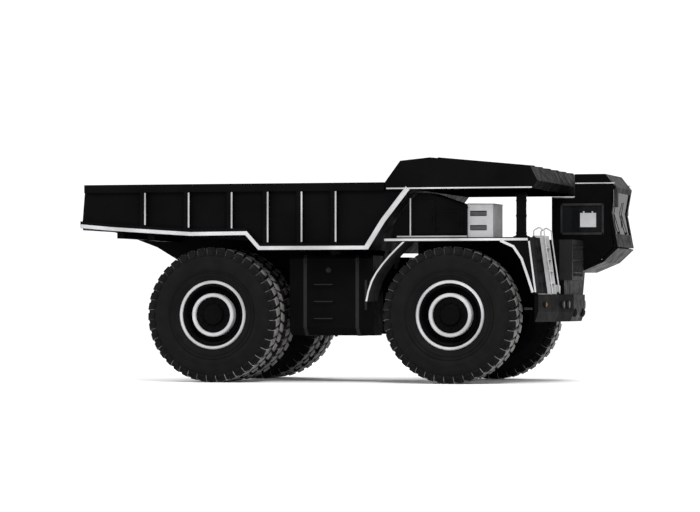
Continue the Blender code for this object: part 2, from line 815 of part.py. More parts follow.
# ---------------------------------------------------------------- bed
def floor_height(x):
    """The load floor's upper face: a plane that falls from the tail to the headboard."""
    start, end = rear(-REAR_OVERHANG), front(-1.58)
    return TAIL_FLOOR + (x - start) / (end - start) * (FRONT_FLOOR - TAIL_FLOOR)


def headboard_line(shift):
    """The front face of the headboard, moved back by shift."""
    return [
        (front(-1.58) - shift, up(-0.06)),
        (front(-1.24) - shift, up(0.48)),
        (front(-0.83) - shift, up(1.00)),
        (front(-0.73) - shift, CANOPY_UNDERSIDE - TOUCH),
    ]


BED_CROSS_RIBS = [rear(-1.90), rear(-1.25), rear(1.20), rear(1.90), rear(2.60)]


def bed_side(side):
    """A side plate with its ribs and rails, its outline as the bed's side view."""
    outline = [
        (rear(-REAR_OVERHANG), up(0.40)),
        (rear(-2.04), up(0.34)),
        (rear(-0.37), up(0.23)),
        (rear(0.78), up(0.24)),
        (rear(1.05), up(-0.06)),
    ]
    outline += headboard_line(0)
    outline += [
        (front(-1.24), CANOPY_UNDERSIDE - TOUCH),
        (front(-1.24), BED_TOP),
        (rear(-2.63), BED_TOP),
    ]
    plate = side_prism(outline, *mirrored(side, SIDE_INNER, SIDE_INNER + BED_PLATE))
    rib_y = mirrored(side, SIDE_INNER + BED_PLATE - 0.01, BED_HALF)
    top_rail = box((rear(-2.62), front(-1.26)), rib_y, (BED_TOP - 0.16, BED_TOP))
    lower = outline[:5] + [headboard_line(0)[0]]
    lower_rail = side_prism(lower + [(x, z + 0.14) for x, z in reversed(lower)], *rib_y)
    parts = [plate, top_rail, lower_rail]
    for x, bottom in BED_RIBS:
        parts.append(box((x - 0.06, x + 0.06), rib_y, (bottom, BED_TOP - 0.02)))
    slope = headboard_line(0.10)
    parts.append(side_prism(slope + headboard_line(0)[::-1], *rib_y))
    node("bed_side_" + side_name(side), black_paint(), parts, pivot=(BED_PIVOT_X, 0, BED_PIVOT_Z))


BED_RIBS = [
    (rear(-1.37), up(0.38)),
    (rear(-0.45), up(0.32)),
    (rear(0.45), up(0.30)),
    (rear(1.20), up(0.02)),
    (rear(1.90), up(0.02)),
    (rear(2.60), up(0.02)),
]


def floor_under(x):
    return floor_height(x) - FLOOR_THICKNESS


def cross_rib(x, y_range, grow=0.0):
    """A rib under the floor; grown, it is the room that a bolster leaves for it."""
    bottom, top = floor_height(x) - 0.02 - FLOOR_THICKNESS - 0.12, floor_height(x) - 0.02
    return box((x - 0.07 - grow, x + 0.07 + grow), y_range, (bottom - grow, top + grow))


def pivot_ear(side):
    x, z = BED_PIVOT_X, BED_PIVOT_Z
    outline = [
        (x - 0.13, z - 0.05),
        (x - 0.07, z - 0.13),
        (x + 0.07, z - 0.13),
        (x + 0.13, z - 0.05),
        (x + 0.22, BOLSTER_BOTTOM + 0.10),
        (x - 0.13, BOLSTER_BOTTOM + 0.16),
    ]
    return side_prism(outline, *mirrored(side, 0.20, RAIL_INNER - 0.02))


def bolster(side):
    """The long beam that lies on the frame rail, with the ear that turns on the bed's pin."""
    x_tail, x_front = rear(-REAR_OVERHANG + 0.02), front(-1.72)
    outline = [
        (x_tail, floor_under(x_tail) - 0.02),
        (rear(-2.35), up(0.28)),
        (rear(-1.70), up(0.04)),
        (rear(-1.26), up(-0.22)),
        (rear(-1.08), BOLSTER_BOTTOM),
        (front(-1.80), BOLSTER_BOTTOM),
        (x_front, floor_under(x_front) - TOUCH),
        (x_tail, floor_under(x_tail) - TOUCH),
    ]
    beam = side_prism(outline, *mirrored(side, *BOLSTER_Y))
    pin_end = Vector((0, RAIL_OUTER, 0))
    pin_middle = Vector((BED_PIVOT_X, 0, BED_PIVOT_Z))
    cuts = [cross_rib(x, (-RAIL_OUTER - 0.1, RAIL_OUTER + 0.1), TOUCH) for x in BED_CROSS_RIBS]
    cuts.append(bore(pin_middle - pin_end, pin_middle + pin_end, BED_PIN_RADIUS))
    name = "bed_bolster_" + side_name(side)
    node(name, black_paint(), [beam, pivot_ear(side)], cuts, pivot=pin_middle)


def hoist_head_lugs():
    """Plates each side of both rod eyes, hanging from the floor."""
    x, z = HOIST_HEAD.x, HOIST_HEAD.z
    top = floor_height(x) - 0.05
    outline = [(x - 0.12, z - 0.04), (x, z - 0.12), (x + 0.12, z - 0.04)]
    outline += [(x + 0.16, top), (x - 0.16, top)]
    y_gap = HOIST_EYE_WIDTH / 2 + 0.006
    plate = 0.03
    lows = (HOIST_Y - y_gap - plate, HOIST_Y + y_gap)
    return [side_prism(outline, *mirrored(side, low, low + plate)) for side in (1, -1) for low in lows]


def bed_floor():
    half = SIDE_INNER - TOUCH
    x_tail = rear(-REAR_OVERHANG)
    x_head = front(-1.58) - HEADBOARD_THICKNESS - TOUCH
    plate = side_prism(
        [
            (x_tail, floor_under(x_tail)),
            (x_head, floor_under(x_head)),
            (x_head, floor_height(x_head)),
            (x_tail, floor_height(x_tail)),
        ],
        -half,
        half,
    )
    ribs = [cross_rib(x, (-half, half)) for x in BED_CROSS_RIBS]
    parts = [plate] + ribs + hoist_head_lugs()
    node("bed_floor", black_paint(), parts, pivot=(BED_PIVOT_X, 0, BED_PIVOT_Z))


def bed_headboard():
    outline = headboard_line(0) + headboard_line(HEADBOARD_THICKNESS)[::-1]
    half = SIDE_INNER - TOUCH
    panel = side_prism(outline, -half, half)
    node("bed_headboard", black_paint(), [panel], pivot=(BED_PIVOT_X, 0, BED_PIVOT_Z))


def canopy_outline(inset):
    """The canopy's side view; with an inset, the hollow below its plate."""
    low = CANOPY_UNDERSIDE - (0.1 if inset else 0)
    return [
        (front(-1.24) + TOUCH + inset, low),
        (front(-1.24) + TOUCH + inset, BED_TOP),
        (front(-0.93) + inset, up(1.69) - inset),
        (front(-0.33), up(1.75) - inset),
        (front(1.68) - inset, up(1.56) - inset),
        (front(1.82) - inset, up(1.28)),
        (front(1.71) - inset, low),
    ]


def bed_canopy():
    plate = 0.05
    outer = side_prism(canopy_outline(0), -BED_HALF, BED_HALF)
    hollow = side_prism(canopy_outline(plate), -BED_HALF + plate, BED_HALF - plate)
    node("bed_canopy", black_paint(), [outer], [hollow], pivot=(BED_PIVOT_X, 0, BED_PIVOT_Z))


# ---------------------------------------------------------------- hoists
def hoist(side):
    """One tipping cylinder: a barrel that swings on the frame's pin and the rod that slides in it."""
    offset = Vector((0, side * HOIST_Y, 0))
    foot = HOIST_FOOT + offset
    head = HOIST_HEAD + offset
    along = (head - foot).normalized()
    half_eye = Vector((0, HOIST_EYE_WIDTH / 2, 0))
    mouth = foot + along * BARREL_LENGTH
    tail = head - along * ROD_ENGAGED
    barrel = rod(foot + along * 0.08, mouth, BARREL_RADIUS, 20)
    eye = rod(foot - half_eye, foot + half_eye, HOIST_EYE_RADIUS)
    room = rod(tail - along * 0.10, mouth + along * 0.2, HOIST_ROD_RADIUS + PIN_GAP)
    pin_hole = bore(foot - 2 * half_eye, foot + 2 * half_eye, HOIST_PIN_RADIUS)
    name = "hoist_barrel_" + side_name(side)
    node(name, dark_steel(), [barrel, eye], [room, pin_hole], pivot=foot, smooth=True)
    bar = rod(tail, head - along * 0.05, HOIST_ROD_RADIUS)
    head_eye = rod(head - half_eye, head + half_eye, 0.10)
    hole = rod(head - 2 * half_eye, head + 2 * half_eye, 0.05)
    name = "hoist_rod_" + side_name(side)
    node(name, polished_steel(), [bar, head_eye], [hole], pivot=foot, smooth=True)


# ---------------------------------------------------------------- steering
ARM_BACK = 0.55
TIE_ROD_Z = up(-1.66)
TIE_ROD_RADIUS = 0.04
BALL_PIN_RADIUS = 0.02
SPINDLE_RADIUS = 0.14
REAR_SPINDLE_RADIUS = 0.24
RIM_HUB_INNER_Y = TRACK_OUTER - TYRE_WIDTH + 0.14
RIM_HUB_OUTER_Y = TRACK_OUTER - 0.12
SPINDLE_END = RIM_HUB_OUTER_Y - 0.06


def knuckle(side):
    """Turns about the strut's axis: a post, the wheel spindle and the steering arm."""
    x, y = FRONT_AXLE_X, side * KINGPIN_Y
    post = rod((x, y, up(-1.74)), (x, y, STRUT_BOTTOM - TOUCH), STRUT_RADIUS, 24)
    spindle = rod((x, y, AXLE_Z), (x, side * SPINDLE_END, AXLE_Z), SPINDLE_RADIUS, 24)
    arm_z = (TIE_ROD_Z + TIE_ROD_RADIUS + 0.006, TIE_ROD_Z + TIE_ROD_RADIUS + 0.086)
    end_x = front(-ARM_BACK)
    arm_plan = [
        (front(0.04), y - side * 0.10),
        (front(-0.04), y + side * 0.08),
        (end_x - 0.05, y + side * 0.06),
        (end_x - 0.05, y - side * 0.06),
    ]
    arm = plan_prism(arm_plan, *arm_z)
    ball_pin = rod((end_x, y, TIE_ROD_Z - 0.05), (end_x, y, arm_z[0] + 0.02), BALL_PIN_RADIUS)
    pivot = (FRONT_AXLE_X, y, AXLE_Z)
    node("knuckle_" + side_name(side), dark_steel(), [post, spindle, arm, ball_pin], pivot=pivot)


def tie_rod():
    """Joins the two steering arms, so that both front wheels turn together."""
    x, z = front(-ARM_BACK), TIE_ROD_Z
    bar = rod((x, -KINGPIN_Y, z), (x, KINGPIN_Y, z), TIE_ROD_RADIUS * 0.75, 12)
    eyes, holes = [], []
    for y in (-KINGPIN_Y, KINGPIN_Y):
        eyes.append(rod((x, y, z - TIE_ROD_RADIUS), (x, y, z + TIE_ROD_RADIUS), 0.055))
        holes.append(bore((x, y, z - 0.1), (x, y, z + 0.1), BALL_PIN_RADIUS))
    node("tie_rod", dark_steel(), [bar] + eyes, holes, pivot=(x, KINGPIN_Y, z))


# ---------------------------------------------------------------- wheels
RIM_RADIUS = 0.622
RIM_WALL = 0.035
FLANGE_RADIUS = 0.685
FLANGE_WIDTH = 0.04
BEAD_INSET = 0.14  # from a tyre's side face in to the rim flange's inner face
HUB_RING_RADIUS = 0.43
DRUM_RADIUS = 0.50  # brake drum and final drive behind the disc
DISC_DEPTH = 0.20  # from the outer bead in to the disc's face
DISC_THICKNESS = 0.07
WHEEL_STEPS = 28


def tyre_profile(inner_y, outer_y):
    """(radius, y) of a tyre between two side faces, seated on the rim."""
    seat = RIM_RADIUS + TOUCH
    bead = FLANGE_RADIUS + 0.01
    side = [
        (seat, BEAD_INSET),
        (bead, BEAD_INSET),
        (0.66 * TYRE_RADIUS, 0.0),
        (0.92 * TYRE_RADIUS, 0.0),
        (TYRE_RADIUS, 0.11),
    ]
    return [(r, inner_y + y) for r, y in side] + [(r, outer_y - y) for r, y in reversed(side)]


def rim_profile(tyre_faces, hub_radius, hub_range):
    """(radius, y) of a rim: a flange at each tyre bead, a disc, a hub ring, and a drum behind it."""
    inner = tyre_faces[0][0] + BEAD_INSET
    outer = tyre_faces[-1][1] - BEAD_INSET
    bore = RIM_RADIUS - RIM_WALL
    disc_y = outer - DISC_DEPTH
    flange = FLANGE_RADIUS
    outside = [(flange, inner - FLANGE_WIDTH), (flange, inner - TOUCH), (RIM_RADIUS, inner - TOUCH)]
    for this, following in zip(tyre_faces, tyre_faces[1:]):
        low = this[1] - BEAD_INSET + TOUCH
        high = following[0] + BEAD_INSET - TOUCH
        outside += [(RIM_RADIUS, low), (flange, low), (flange, low + FLANGE_WIDTH)]
        outside += [(RIM_RADIUS, low + FLANGE_WIDTH), (RIM_RADIUS, high - FLANGE_WIDTH)]
        outside += [(flange, high - FLANGE_WIDTH), (flange, high), (RIM_RADIUS, high)]
    outside += [(RIM_RADIUS, outer + TOUCH), (flange, outer + TOUCH), (flange, outer + FLANGE_WIDTH)]
    inside = [
        (bore, outer + FLANGE_WIDTH),
        (bore, disc_y),
        (HUB_RING_RADIUS, disc_y),
        (HUB_RING_RADIUS, hub_range[1]),
        (hub_radius, hub_range[1]),
        (hub_radius, hub_range[0]),
        (DRUM_RADIUS, hub_range[0]),
        (DRUM_RADIUS, disc_y - DISC_THICKNESS),
        (bore, disc_y - DISC_THICKNESS),
        (bore, inner - FLANGE_WIDTH),
    ]
    return outside + inside


def tyre(name, x, side, inner_y, outer_y):
    ring = wheel_ring(tyre_profile(inner_y, outer_y), x, side)
    node(name, tyre_rubber(), [ring], pivot=(x, 0, AXLE_Z), smooth=True)


def rim(name, x, side, tyre_faces, hub_radius, hub_range, spindle_end):
    """A rim and its hub, with the hub's outer end closed past the spindle."""
    ring = wheel_ring(rim_profile(tyre_faces, hub_radius, hub_range), x, side)
    cap_ends = [(x, side * y, AXLE_Z) for y in (spindle_end + 0.01, hub_range[1])]
    cap = rod(*cap_ends, hub_radius + 0.08, 24)
    node(name, silver_paint(), [ring, cap], pivot=(x, 0, AXLE_Z), smooth=True)


def wheels():
    outer = (TRACK_OUTER - TYRE_WIDTH, TRACK_OUTER)
    inner = (outer[0] - TWIN_GAP - TYRE_WIDTH, outer[0] - TWIN_GAP)
    for side in (1, -1):
        label = side_name(side)
        tyre("tyre_front_" + label, FRONT_AXLE_X, side, *outer)
        tyre("tyre_rear_outer_" + label, REAR_AXLE_X, side, *outer)
        tyre("tyre_rear_inner_" + label, REAR_AXLE_X, side, *inner)
        front_hub = (RIM_HUB_INNER_Y, RIM_HUB_OUTER_Y)
        front_bore = SPINDLE_RADIUS + PIN_GAP
        rim("rim_front_" + label, FRONT_AXLE_X, side, [outer], front_bore, front_hub, SPINDLE_END)
        rear_hub = (inner[0] + 0.10, RIM_HUB_OUTER_Y)
        rear_bore = REAR_SPINDLE_RADIUS + PIN_GAP
        rim("rim_rear_" + label, REAR_AXLE_X, side, [inner, outer], rear_bore, rear_hub, outer[0])


def main():
    clear_scene()
    chassis_frame()
    front_bumper()
    radiator()
    engine_hood()
    engine_block()
    deck_right()
    deck_left()
    side_tank("fuel_tank", -1)
    side_tank("hydraulic_tank", 1)
    rear_axle()
    cab()
    control_cabinet()
    cooling_air_box()
    intake_stack()
    front_ladder()
    bed_floor()
    bed_headboard()
    bed_canopy()
    for side in (1, -1):
        rear_cylinder(side)
        front_strut(side)
        strut_carrier(side)
        bed_side(side)
        hoist(side)
        bolster(side)
        knuckle(side)
    tie_rod()
    wheels()


main()
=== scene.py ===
# %% [markdown]
# # A mining dump truck, dressed piece by piece
# The frame loaded here is the truck's engineering model: its panels, axles and joints at their real
# size, in metres, with +X forward and +Z up. This lesson never moves that model. It adds the pieces
# a maker would fit last, swaps the plain wheels for detailed ones, and gives each surface a finish.

# %% Load the frame
import math

import bpy
from mathutils import Matrix, Vector
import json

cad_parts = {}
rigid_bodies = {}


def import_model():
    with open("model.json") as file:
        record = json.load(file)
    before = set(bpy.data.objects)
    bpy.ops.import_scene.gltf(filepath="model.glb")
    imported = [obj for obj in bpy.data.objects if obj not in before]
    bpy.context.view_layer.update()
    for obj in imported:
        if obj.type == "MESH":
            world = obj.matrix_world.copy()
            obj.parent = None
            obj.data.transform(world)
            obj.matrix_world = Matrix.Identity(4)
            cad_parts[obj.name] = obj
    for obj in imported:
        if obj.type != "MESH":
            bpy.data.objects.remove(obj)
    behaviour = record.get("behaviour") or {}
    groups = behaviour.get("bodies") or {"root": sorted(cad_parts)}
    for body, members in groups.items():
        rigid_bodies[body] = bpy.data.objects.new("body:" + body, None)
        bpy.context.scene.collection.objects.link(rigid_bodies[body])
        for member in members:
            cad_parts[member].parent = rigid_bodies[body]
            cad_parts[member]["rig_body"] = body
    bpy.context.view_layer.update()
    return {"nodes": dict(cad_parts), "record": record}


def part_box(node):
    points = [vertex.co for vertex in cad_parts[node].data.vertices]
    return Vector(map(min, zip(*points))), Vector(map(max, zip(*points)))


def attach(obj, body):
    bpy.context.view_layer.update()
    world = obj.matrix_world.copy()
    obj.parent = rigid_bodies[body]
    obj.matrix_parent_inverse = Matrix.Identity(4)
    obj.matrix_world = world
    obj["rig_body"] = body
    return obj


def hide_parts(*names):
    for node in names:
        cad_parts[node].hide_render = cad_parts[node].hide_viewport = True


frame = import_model()
nodes = frame["nodes"]

# %% [markdown]
# ## Small tools of the trade
# Operators act on whatever is selected, and the frame arrives selected, so every tool below first
# clears the selection. A cube primitive is only a starting lump: the tools bevel, inset or extrude
# it, and at the end its place is applied, so the object sits at the origin with its place in its
# mesh.


# %% Selecting and applying
def only(*objects):
    bpy.ops.object.select_all(action="DESELECT")
    for obj in objects:
        obj.select_set(True)
    bpy.context.view_layer.objects.active = objects[0]


def placed(obj, name):
    only(obj)
    obj.name = name
    obj.data.name = name
    bpy.ops.object.transform_apply(location=True, rotation=True, scale=True)
    return obj


def apply(obj, kind, **settings):
    only(obj)
    step = obj.modifiers.new(kind.title(), kind)
    for key, value in settings.items():
        setattr(step, key, value)
    bpy.ops.object.modifier_apply(modifier=step.name)
    return obj


def joined(name, pieces):
    only(*pieces)
    if len(pieces) > 1:
        bpy.ops.object.join()
    made = bpy.context.view_layer.objects.active
    made.name = name
    made.data.name = name
    return made


def smooth(obj, degrees=35):
    only(obj)
    bpy.ops.object.shade_smooth_by_angle(angle=math.radians(degrees))
    return obj


def fit(obj, finish, body="chassis", slot=None, stands_for=()):
    """The last step for each piece: its finish and its body. The slot argument is not used."""
    slot = slot or usual_slot[finish.name]
    obj.data.materials.clear()
    obj.data.materials.append(finish)
    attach(obj, body)
    if stands_for:
        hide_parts(*stands_for)
    return obj


# %% Blocks, bars and plates
def block(low, high, bevel=0.008, turn=(0, 0, 0), segments=2):
    """A cube primitive brought to size between two corners, its edges rounded, then turned."""
    low, high = Vector(low), Vector(high)
    bpy.ops.object.select_all(action="DESELECT")
    bpy.ops.mesh.primitive_cube_add(size=1, location=(low + high) / 2)
    made = bpy.context.object
    made.scale = high - low
    bpy.ops.object.transform_apply(location=False, rotation=False, scale=True)
    bevel = min(bevel, 0.45 * min(high - low))
    apply(made, "BEVEL", width=bevel, segments=segments, limit_method="NONE")
    made.rotation_euler = turn
    only(made)
    bpy.ops.object.transform_apply(location=True, rotation=True, scale=True)
    return made


def edit_all():
    """Edit mode, with all of the active mesh selected."""
    bpy.ops.object.mode_set(mode="EDIT")
    bpy.ops.mesh.select_all(action="SELECT")


def eased(obj, width, segments=1):
    """The same object with its sharp edges bevelled."""
    return apply(obj, "BEVEL", width=width, segments=segments, limit_method="ANGLE")


def bar(start, end, radius, sides=12, bevel=0.2):
    """A round bar between two points, its rims rounded by a share of its radius."""
    start, end = Vector(start), Vector(end)
    bpy.ops.object.select_all(action="DESELECT")
    bpy.ops.mesh.primitive_cylinder_add(vertices=sides, radius=radius, depth=(end - start).length)
    made = bpy.context.object
    if bevel:
        eased(made, radius * bevel)
    made.rotation_euler = (end - start).to_track_quat("Z", "Y").to_euler()
    made.location = (start + end) / 2
    only(made)
    bpy.ops.object.transform_apply(location=True, rotation=True, scale=True)
    return smooth(made)


def outline(points, plane="XZ", depth=(0, 1)):
    """A plate: one point is extruded along the outline, closed, filled and carried across."""
    third = {"XZ": 1, "YZ": 0, "XY": 2}[plane]
    first, second = [axis for axis in range(3) if axis != third]

    def spot(pair):
        place = [0.0, 0.0, 0.0]
        place[first], place[second], place[third] = pair[0], pair[1], depth[0]
        return Vector(place)

    start = chain([spot(pair) for pair in points], closed=True)
    edit_all()
    bpy.ops.mesh.edge_face_add()
    shift = [0.0, 0.0, 0.0]
    shift[third] = depth[1] - depth[0]
    bpy.ops.mesh.extrude_region_move(TRANSFORM_OT_translate={"value": shift})
    bpy.ops.mesh.select_all(action="SELECT")
    bpy.ops.mesh.normals_make_consistent(inside=False)
    bpy.ops.object.mode_set(mode="OBJECT")
    return start


def chain(spots, closed=False):
    """A plane primitive merged to one point, then extruded from spot to spot."""
    bpy.ops.object.select_all(action="DESELECT")
    bpy.ops.mesh.primitive_plane_add(size=0.01, location=(0, 0, 0))
    made = bpy.context.object
    bpy.ops.object.mode_set(mode="EDIT")
    bpy.ops.mesh.select_mode(type="VERT")
    bpy.ops.mesh.select_all(action="SELECT")
    bpy.ops.mesh.merge(type="CENTER")
    bpy.ops.transform.translate(value=spots[0])
    for before, after in zip(spots, spots[1:]):
        bpy.ops.mesh.extrude_region_move(TRANSFORM_OT_translate={"value": after - before})
    if closed:
        bpy.ops.object.mode_set(mode="OBJECT")
        made.data.vertices[0].select = True
        made.data.vertices[-1].select = True
        bpy.ops.object.mode_set(mode="EDIT")
        bpy.ops.mesh.edge_face_add()
    bpy.ops.object.mode_set(mode="OBJECT")
    return made


def turned(profile, centre, axis="Y", steps=48, flip=1):
    """A lathe: a (radius, along) profile spun a full turn about an axis through centre."""
    centre = Vector(centre)
    along = {"X": Vector((1, 0, 0)), "Y": Vector((0, 1, 0)), "Z": Vector((0, 0, 1))}[axis]
    out = Vector((1, 0, 0)) if axis != "X" else Vector((0, 0, 1))
    made = chain([centre + out * r + along * (a * flip) for r, a in profile])
    edit_all()
    bpy.ops.mesh.spin(steps=steps, angle=2 * math.pi, center=centre, axis=along)
    bpy.ops.mesh.select_all(action="SELECT")
    bpy.ops.mesh.remove_doubles(threshold=0.0002)
    bpy.ops.mesh.normals_make_consistent(inside=False)
    bpy.ops.object.mode_set(mode="OBJECT")
    return smooth(made)


def turn_about(centre, angle, axis="Y"):
    """A rotation about a line through centre."""
    there, back = Matrix.Translation(centre), Matrix.Translation(-centre)
    return there @ Matrix.Rotation(angle, 4, axis) @ back


def copied(piece, change):
    """A copy with its own mesh, moved or turned by a matrix."""
    mesh = piece.data.copy()
    mesh.transform(change)
    copy = bpy.data.objects.new("copy", mesh)
    bpy.context.scene.collection.objects.link(copy)
    return copy


def ring_of(piece, centre, count, axis="Y"):
    """A piece repeated in a full circle: each copy is turned one step further."""
    centre = Vector(centre)
    angles = [2 * math.pi * step / count for step in range(1, count)]
    copies = [copied(piece, turn_about(centre, angle, axis)) for angle in angles]
    return joined("ring", [piece] + copies)


print("tools ready")

# %% [markdown]
# ## Finishes
# A working truck is never one flat colour. Each finish starts from a Principled shader and lets
# noise in object space vary its colour and roughness: broad clouds for fading, fine grain for the
# paint's skin, and a dust layer that settles where a surface faces up. Values that are the same all
# over stay on the shader's own sockets.


# %% Finish helpers
def new_finish(name):
    made = bpy.data.materials.new(name)
    made.use_nodes = True
    shader = made.node_tree.nodes["Principled BSDF"]
    return made, made.node_tree, shader


def noise(tree, scale, detail=4, roughness=0.55):
    place = tree.nodes.new("ShaderNodeTexCoord")
    made = tree.nodes.new("ShaderNodeTexNoise")
    made.inputs["Scale"].default_value = scale
    made.inputs["Detail"].default_value = detail
    made.inputs["Roughness"].default_value = roughness
    tree.links.new(place.outputs["Object"], made.inputs["Vector"])
    return made.outputs["Fac"]


def ramp(tree, factor, stops):
    made = tree.nodes.new("ShaderNodeValToRGB")
    slots = made.color_ramp.elements
    while len(slots) < len(stops):
        slots.new(0.5)
    for slot, (place, colour) in zip(slots, stops):
        slot.position = place
        slot.color = (*colour, 1) if len(colour) == 3 else colour
    tree.links.new(factor, made.inputs["Fac"])
    return made.outputs["Color"]


def greys(tree, factor, first, second):
    """A ramp between two greys: each is (place, brightness)."""
    return ramp(tree, factor, [(place, (value,) * 3) for place, value in (first, second)])


def blend_colours(tree, factor, first, second):
    made = tree.nodes.new("ShaderNodeMix")
    made.data_type = "RGBA"
    for source, number in ((factor, 0), (first, 6), (second, 7)):
        socket = made.inputs[number]
        if isinstance(source, tuple):
            socket.default_value = (*source, 1)
        else:
            tree.links.new(source, socket)
    return made.outputs[2]


def maths(tree, kind, first, second):
    made = tree.nodes.new("ShaderNodeMath")
    made.operation = kind
    made.use_clamp = True
    for source, socket in zip((first, second), made.inputs):
        if isinstance(source, (int, float)):
            socket.default_value = source
        else:
            tree.links.new(source, socket)
    return made.outputs[0]


def facing_up(tree, sharpness=3.0):
    """1 where the surface looks at the sky, falling to 0 on upright faces."""
    geometry = tree.nodes.new("ShaderNodeNewGeometry")
    split = tree.nodes.new("ShaderNodeSeparateXYZ")
    tree.links.new(geometry.outputs["Normal"], split.inputs[0])
    return maths(tree, "POWER", maths(tree, "MAXIMUM", split.outputs["Z"], 0.0), sharpness)


def roughen(tree, shader, scale, detail, first, second):
    """Roughness that drifts between two values: each is (place on the noise, roughness)."""
    drift = greys(tree, noise(tree, scale, detail), first, second)
    tree.links.new(drift, shader.inputs["Roughness"])


def scaled(colour, share):
    return tuple(share * channel for channel in colour)


def bump(tree, shader, height, strength, distance):
    made = tree.nodes.new("ShaderNodeBump")
    made.inputs["Strength"].default_value = strength
    made.inputs["Distance"].default_value = distance
    tree.links.new(height, made.inputs["Height"])
    tree.links.new(made.outputs["Normal"], shader.inputs["Normal"])


def painted(name, colour, worn, roughness=0.32, dust=0.25, coat=0.3, metallic=0.0, shine=0.5):
    """Machine paint: faded clouds, a fine skin, worn specks and dust on what faces up."""
    made, tree, shader = new_finish(name)
    shader.inputs["Specular IOR Level"].default_value = shine
    shader.inputs["Coat Weight"].default_value = coat
    shader.inputs["Coat Roughness"].default_value = 0.12
    shader.inputs["Metallic"].default_value = metallic
    fading = [(0.35, scaled(colour, 0.75)), (0.68, scaled(colour, 1.25))]
    faded = ramp(tree, noise(tree, 1.1, 5), fading)
    specks = greys(tree, noise(tree, 26, 8, 0.7), (0.66, 0), (0.72, 1))
    paint = blend_colours(tree, specks, faded, worn)
    dusty = greys(tree, noise(tree, 3.5, 6, 0.65), (0.3, 0), (0.8, dust))
    layer = maths(tree, "MULTIPLY", facing_up(tree), dusty)
    dusted = blend_colours(tree, layer, paint, (0.30, 0.28, 0.25))
    tree.links.new(dusted, shader.inputs["Base Color"])
    roughen(tree, shader, 5.0, 6, (0.3, roughness * 0.8), (0.75, min(1, roughness * 1.5)))
    bump(tree, shader, noise(tree, 160, 3), 0.08, 0.002)
    return made


# %% The finishes themselves
black = painted(
    "black_machine_paint", (0.0018, 0.0018, 0.0019), (0.006, 0.006, 0.006), 0.36, 0.03, 0.0, 0,
    0.015
)
bed_black = painted(
    "black_bed_paint", (0.0018, 0.0018, 0.0019), (0.007, 0.0065, 0.006), 0.42, 0.03, 0.0, 0, 0.015
)
# Pale paint: the own colour of the number plate, gutters and rails, and a painted highlight on the
# bed, canopy, fender and mud guard edge strips, the rim bands and the ladder lamp.
pale_paint_and_highlight = painted("pale_paint_and_painted_highlight", (0.31, 0.31, 0.315), (0.15, 0.15, 0.15), 0.40, 0.25, 0.1)
# Light grey paint: the own colour of the cooling box lid and bumper step, and a painted highlight on
# the rib edges and the cabinet trim.
grey_paint_and_highlight = painted("light_grey_paint_and_highlight", (0.24, 0.24, 0.245), (0.10, 0.10, 0.10), 0.45, 0.25, 0.05)
steel = painted(
    "dark_cast_steel", (0.006, 0.006, 0.0065), (0.05, 0.042, 0.035), 0.50, 0.12, 0.0, 0.1, 0.15
)


def worn_floor():
    """The bed's inside: paint scoured to dull bare plate by rock."""
    made, tree, shader = new_finish("scoured_bed_plate")
    shader.inputs["Metallic"].default_value = 0.6
    streaks = tree.nodes.new("ShaderNodeTexNoise")
    place = tree.nodes.new("ShaderNodeTexCoord")
    stretch = tree.nodes.new("ShaderNodeMapping")
    stretch.inputs["Scale"].default_value = (1.2, 14.0, 6.0)
    tree.links.new(place.outputs["Object"], stretch.inputs["Vector"])
    tree.links.new(stretch.outputs["Vector"], streaks.inputs["Vector"])
    streaks.inputs["Detail"].default_value = 8
    stops = [(0.32, (0.03, 0.029, 0.028)), (0.52, (0.11, 0.105, 0.10)), (0.75, (0.22, 0.20, 0.18))]
    tree.links.new(ramp(tree, streaks.outputs["Fac"], stops), shader.inputs["Base Color"])
    roughen(tree, shader, 7, 6, (0.3, 0.42), (0.8, 0.75))
    bump(tree, shader, streaks.outputs["Fac"], 0.3, 0.01)
    return made


def rubber(name, colour, dusty, amount, fine=60, crown_dust_and_highlight=False):
    """Tyre rubber: matt, finely grained, with dust rubbed into it; in crown mode the pale patches
    lie only on the crown, where they are partly dust and partly a painted highlight.
    """
    made, tree, shader = new_finish(name)
    shader.inputs["Specular IOR Level"].default_value = 0.06
    bare, full = (0.30, 0.52) if crown_dust_and_highlight else (0.42, 0.72)
    dust_and_highlight_patches = greys(tree, noise(tree, 4.5, 7, 0.7), (bare, 0), (full, amount))
    # Crown mode: the pale patches are kept to the crown, partly dust and partly a painted highlight.
    if crown_dust_and_highlight:
        turn = tree.nodes.new("ShaderNodeSeparateXYZ")
        tree.links.new(tree.nodes.new("ShaderNodeTexCoord").outputs["Normal"], turn.inputs[0])
        across = maths(tree, "ABSOLUTE", turn.outputs["Y"], 0.0)
        dust_and_highlight_patches = maths(tree, "MULTIPLY", dust_and_highlight_patches, maths(tree, "LESS_THAN", across, 0.55))
    tree.links.new(blend_colours(tree, dust_and_highlight_patches, colour, dusty), shader.inputs["Base Color"])
    roughen(tree, shader, 9, 5, (0.3, 0.55), (0.8, 0.85))
    bump(tree, shader, noise(tree, fine, 6), 0.25, 0.004)
    return made


def chrome():
    made, tree, shader = new_finish("hard_chrome")
    shader.inputs["Metallic"].default_value = 1.0
    colours = ramp(tree, noise(tree, 3, 4), [(0.3, (0.62, 0.63, 0.65)), (0.8, (0.78, 0.78, 0.8))])
    tree.links.new(colours, shader.inputs["Base Color"])
    roughen(tree, shader, 30, 5, (0.3, 0.08), (0.8, 0.2))
    return made


def glass(name, tint, alpha):
    made, tree, shader = new_finish(name)
    shader.inputs["Alpha"].default_value = alpha
    shader.inputs["Specular IOR Level"].default_value = 0.04
    colours = ramp(tree, noise(tree, 1.5, 4), [(0.3, tint), (0.8, scaled(tint, 1.6))])
    tree.links.new(colours, shader.inputs["Base Color"])
    roughen(tree, shader, 6, 5, (0.35, 0.03), (0.8, 0.12))
    return made


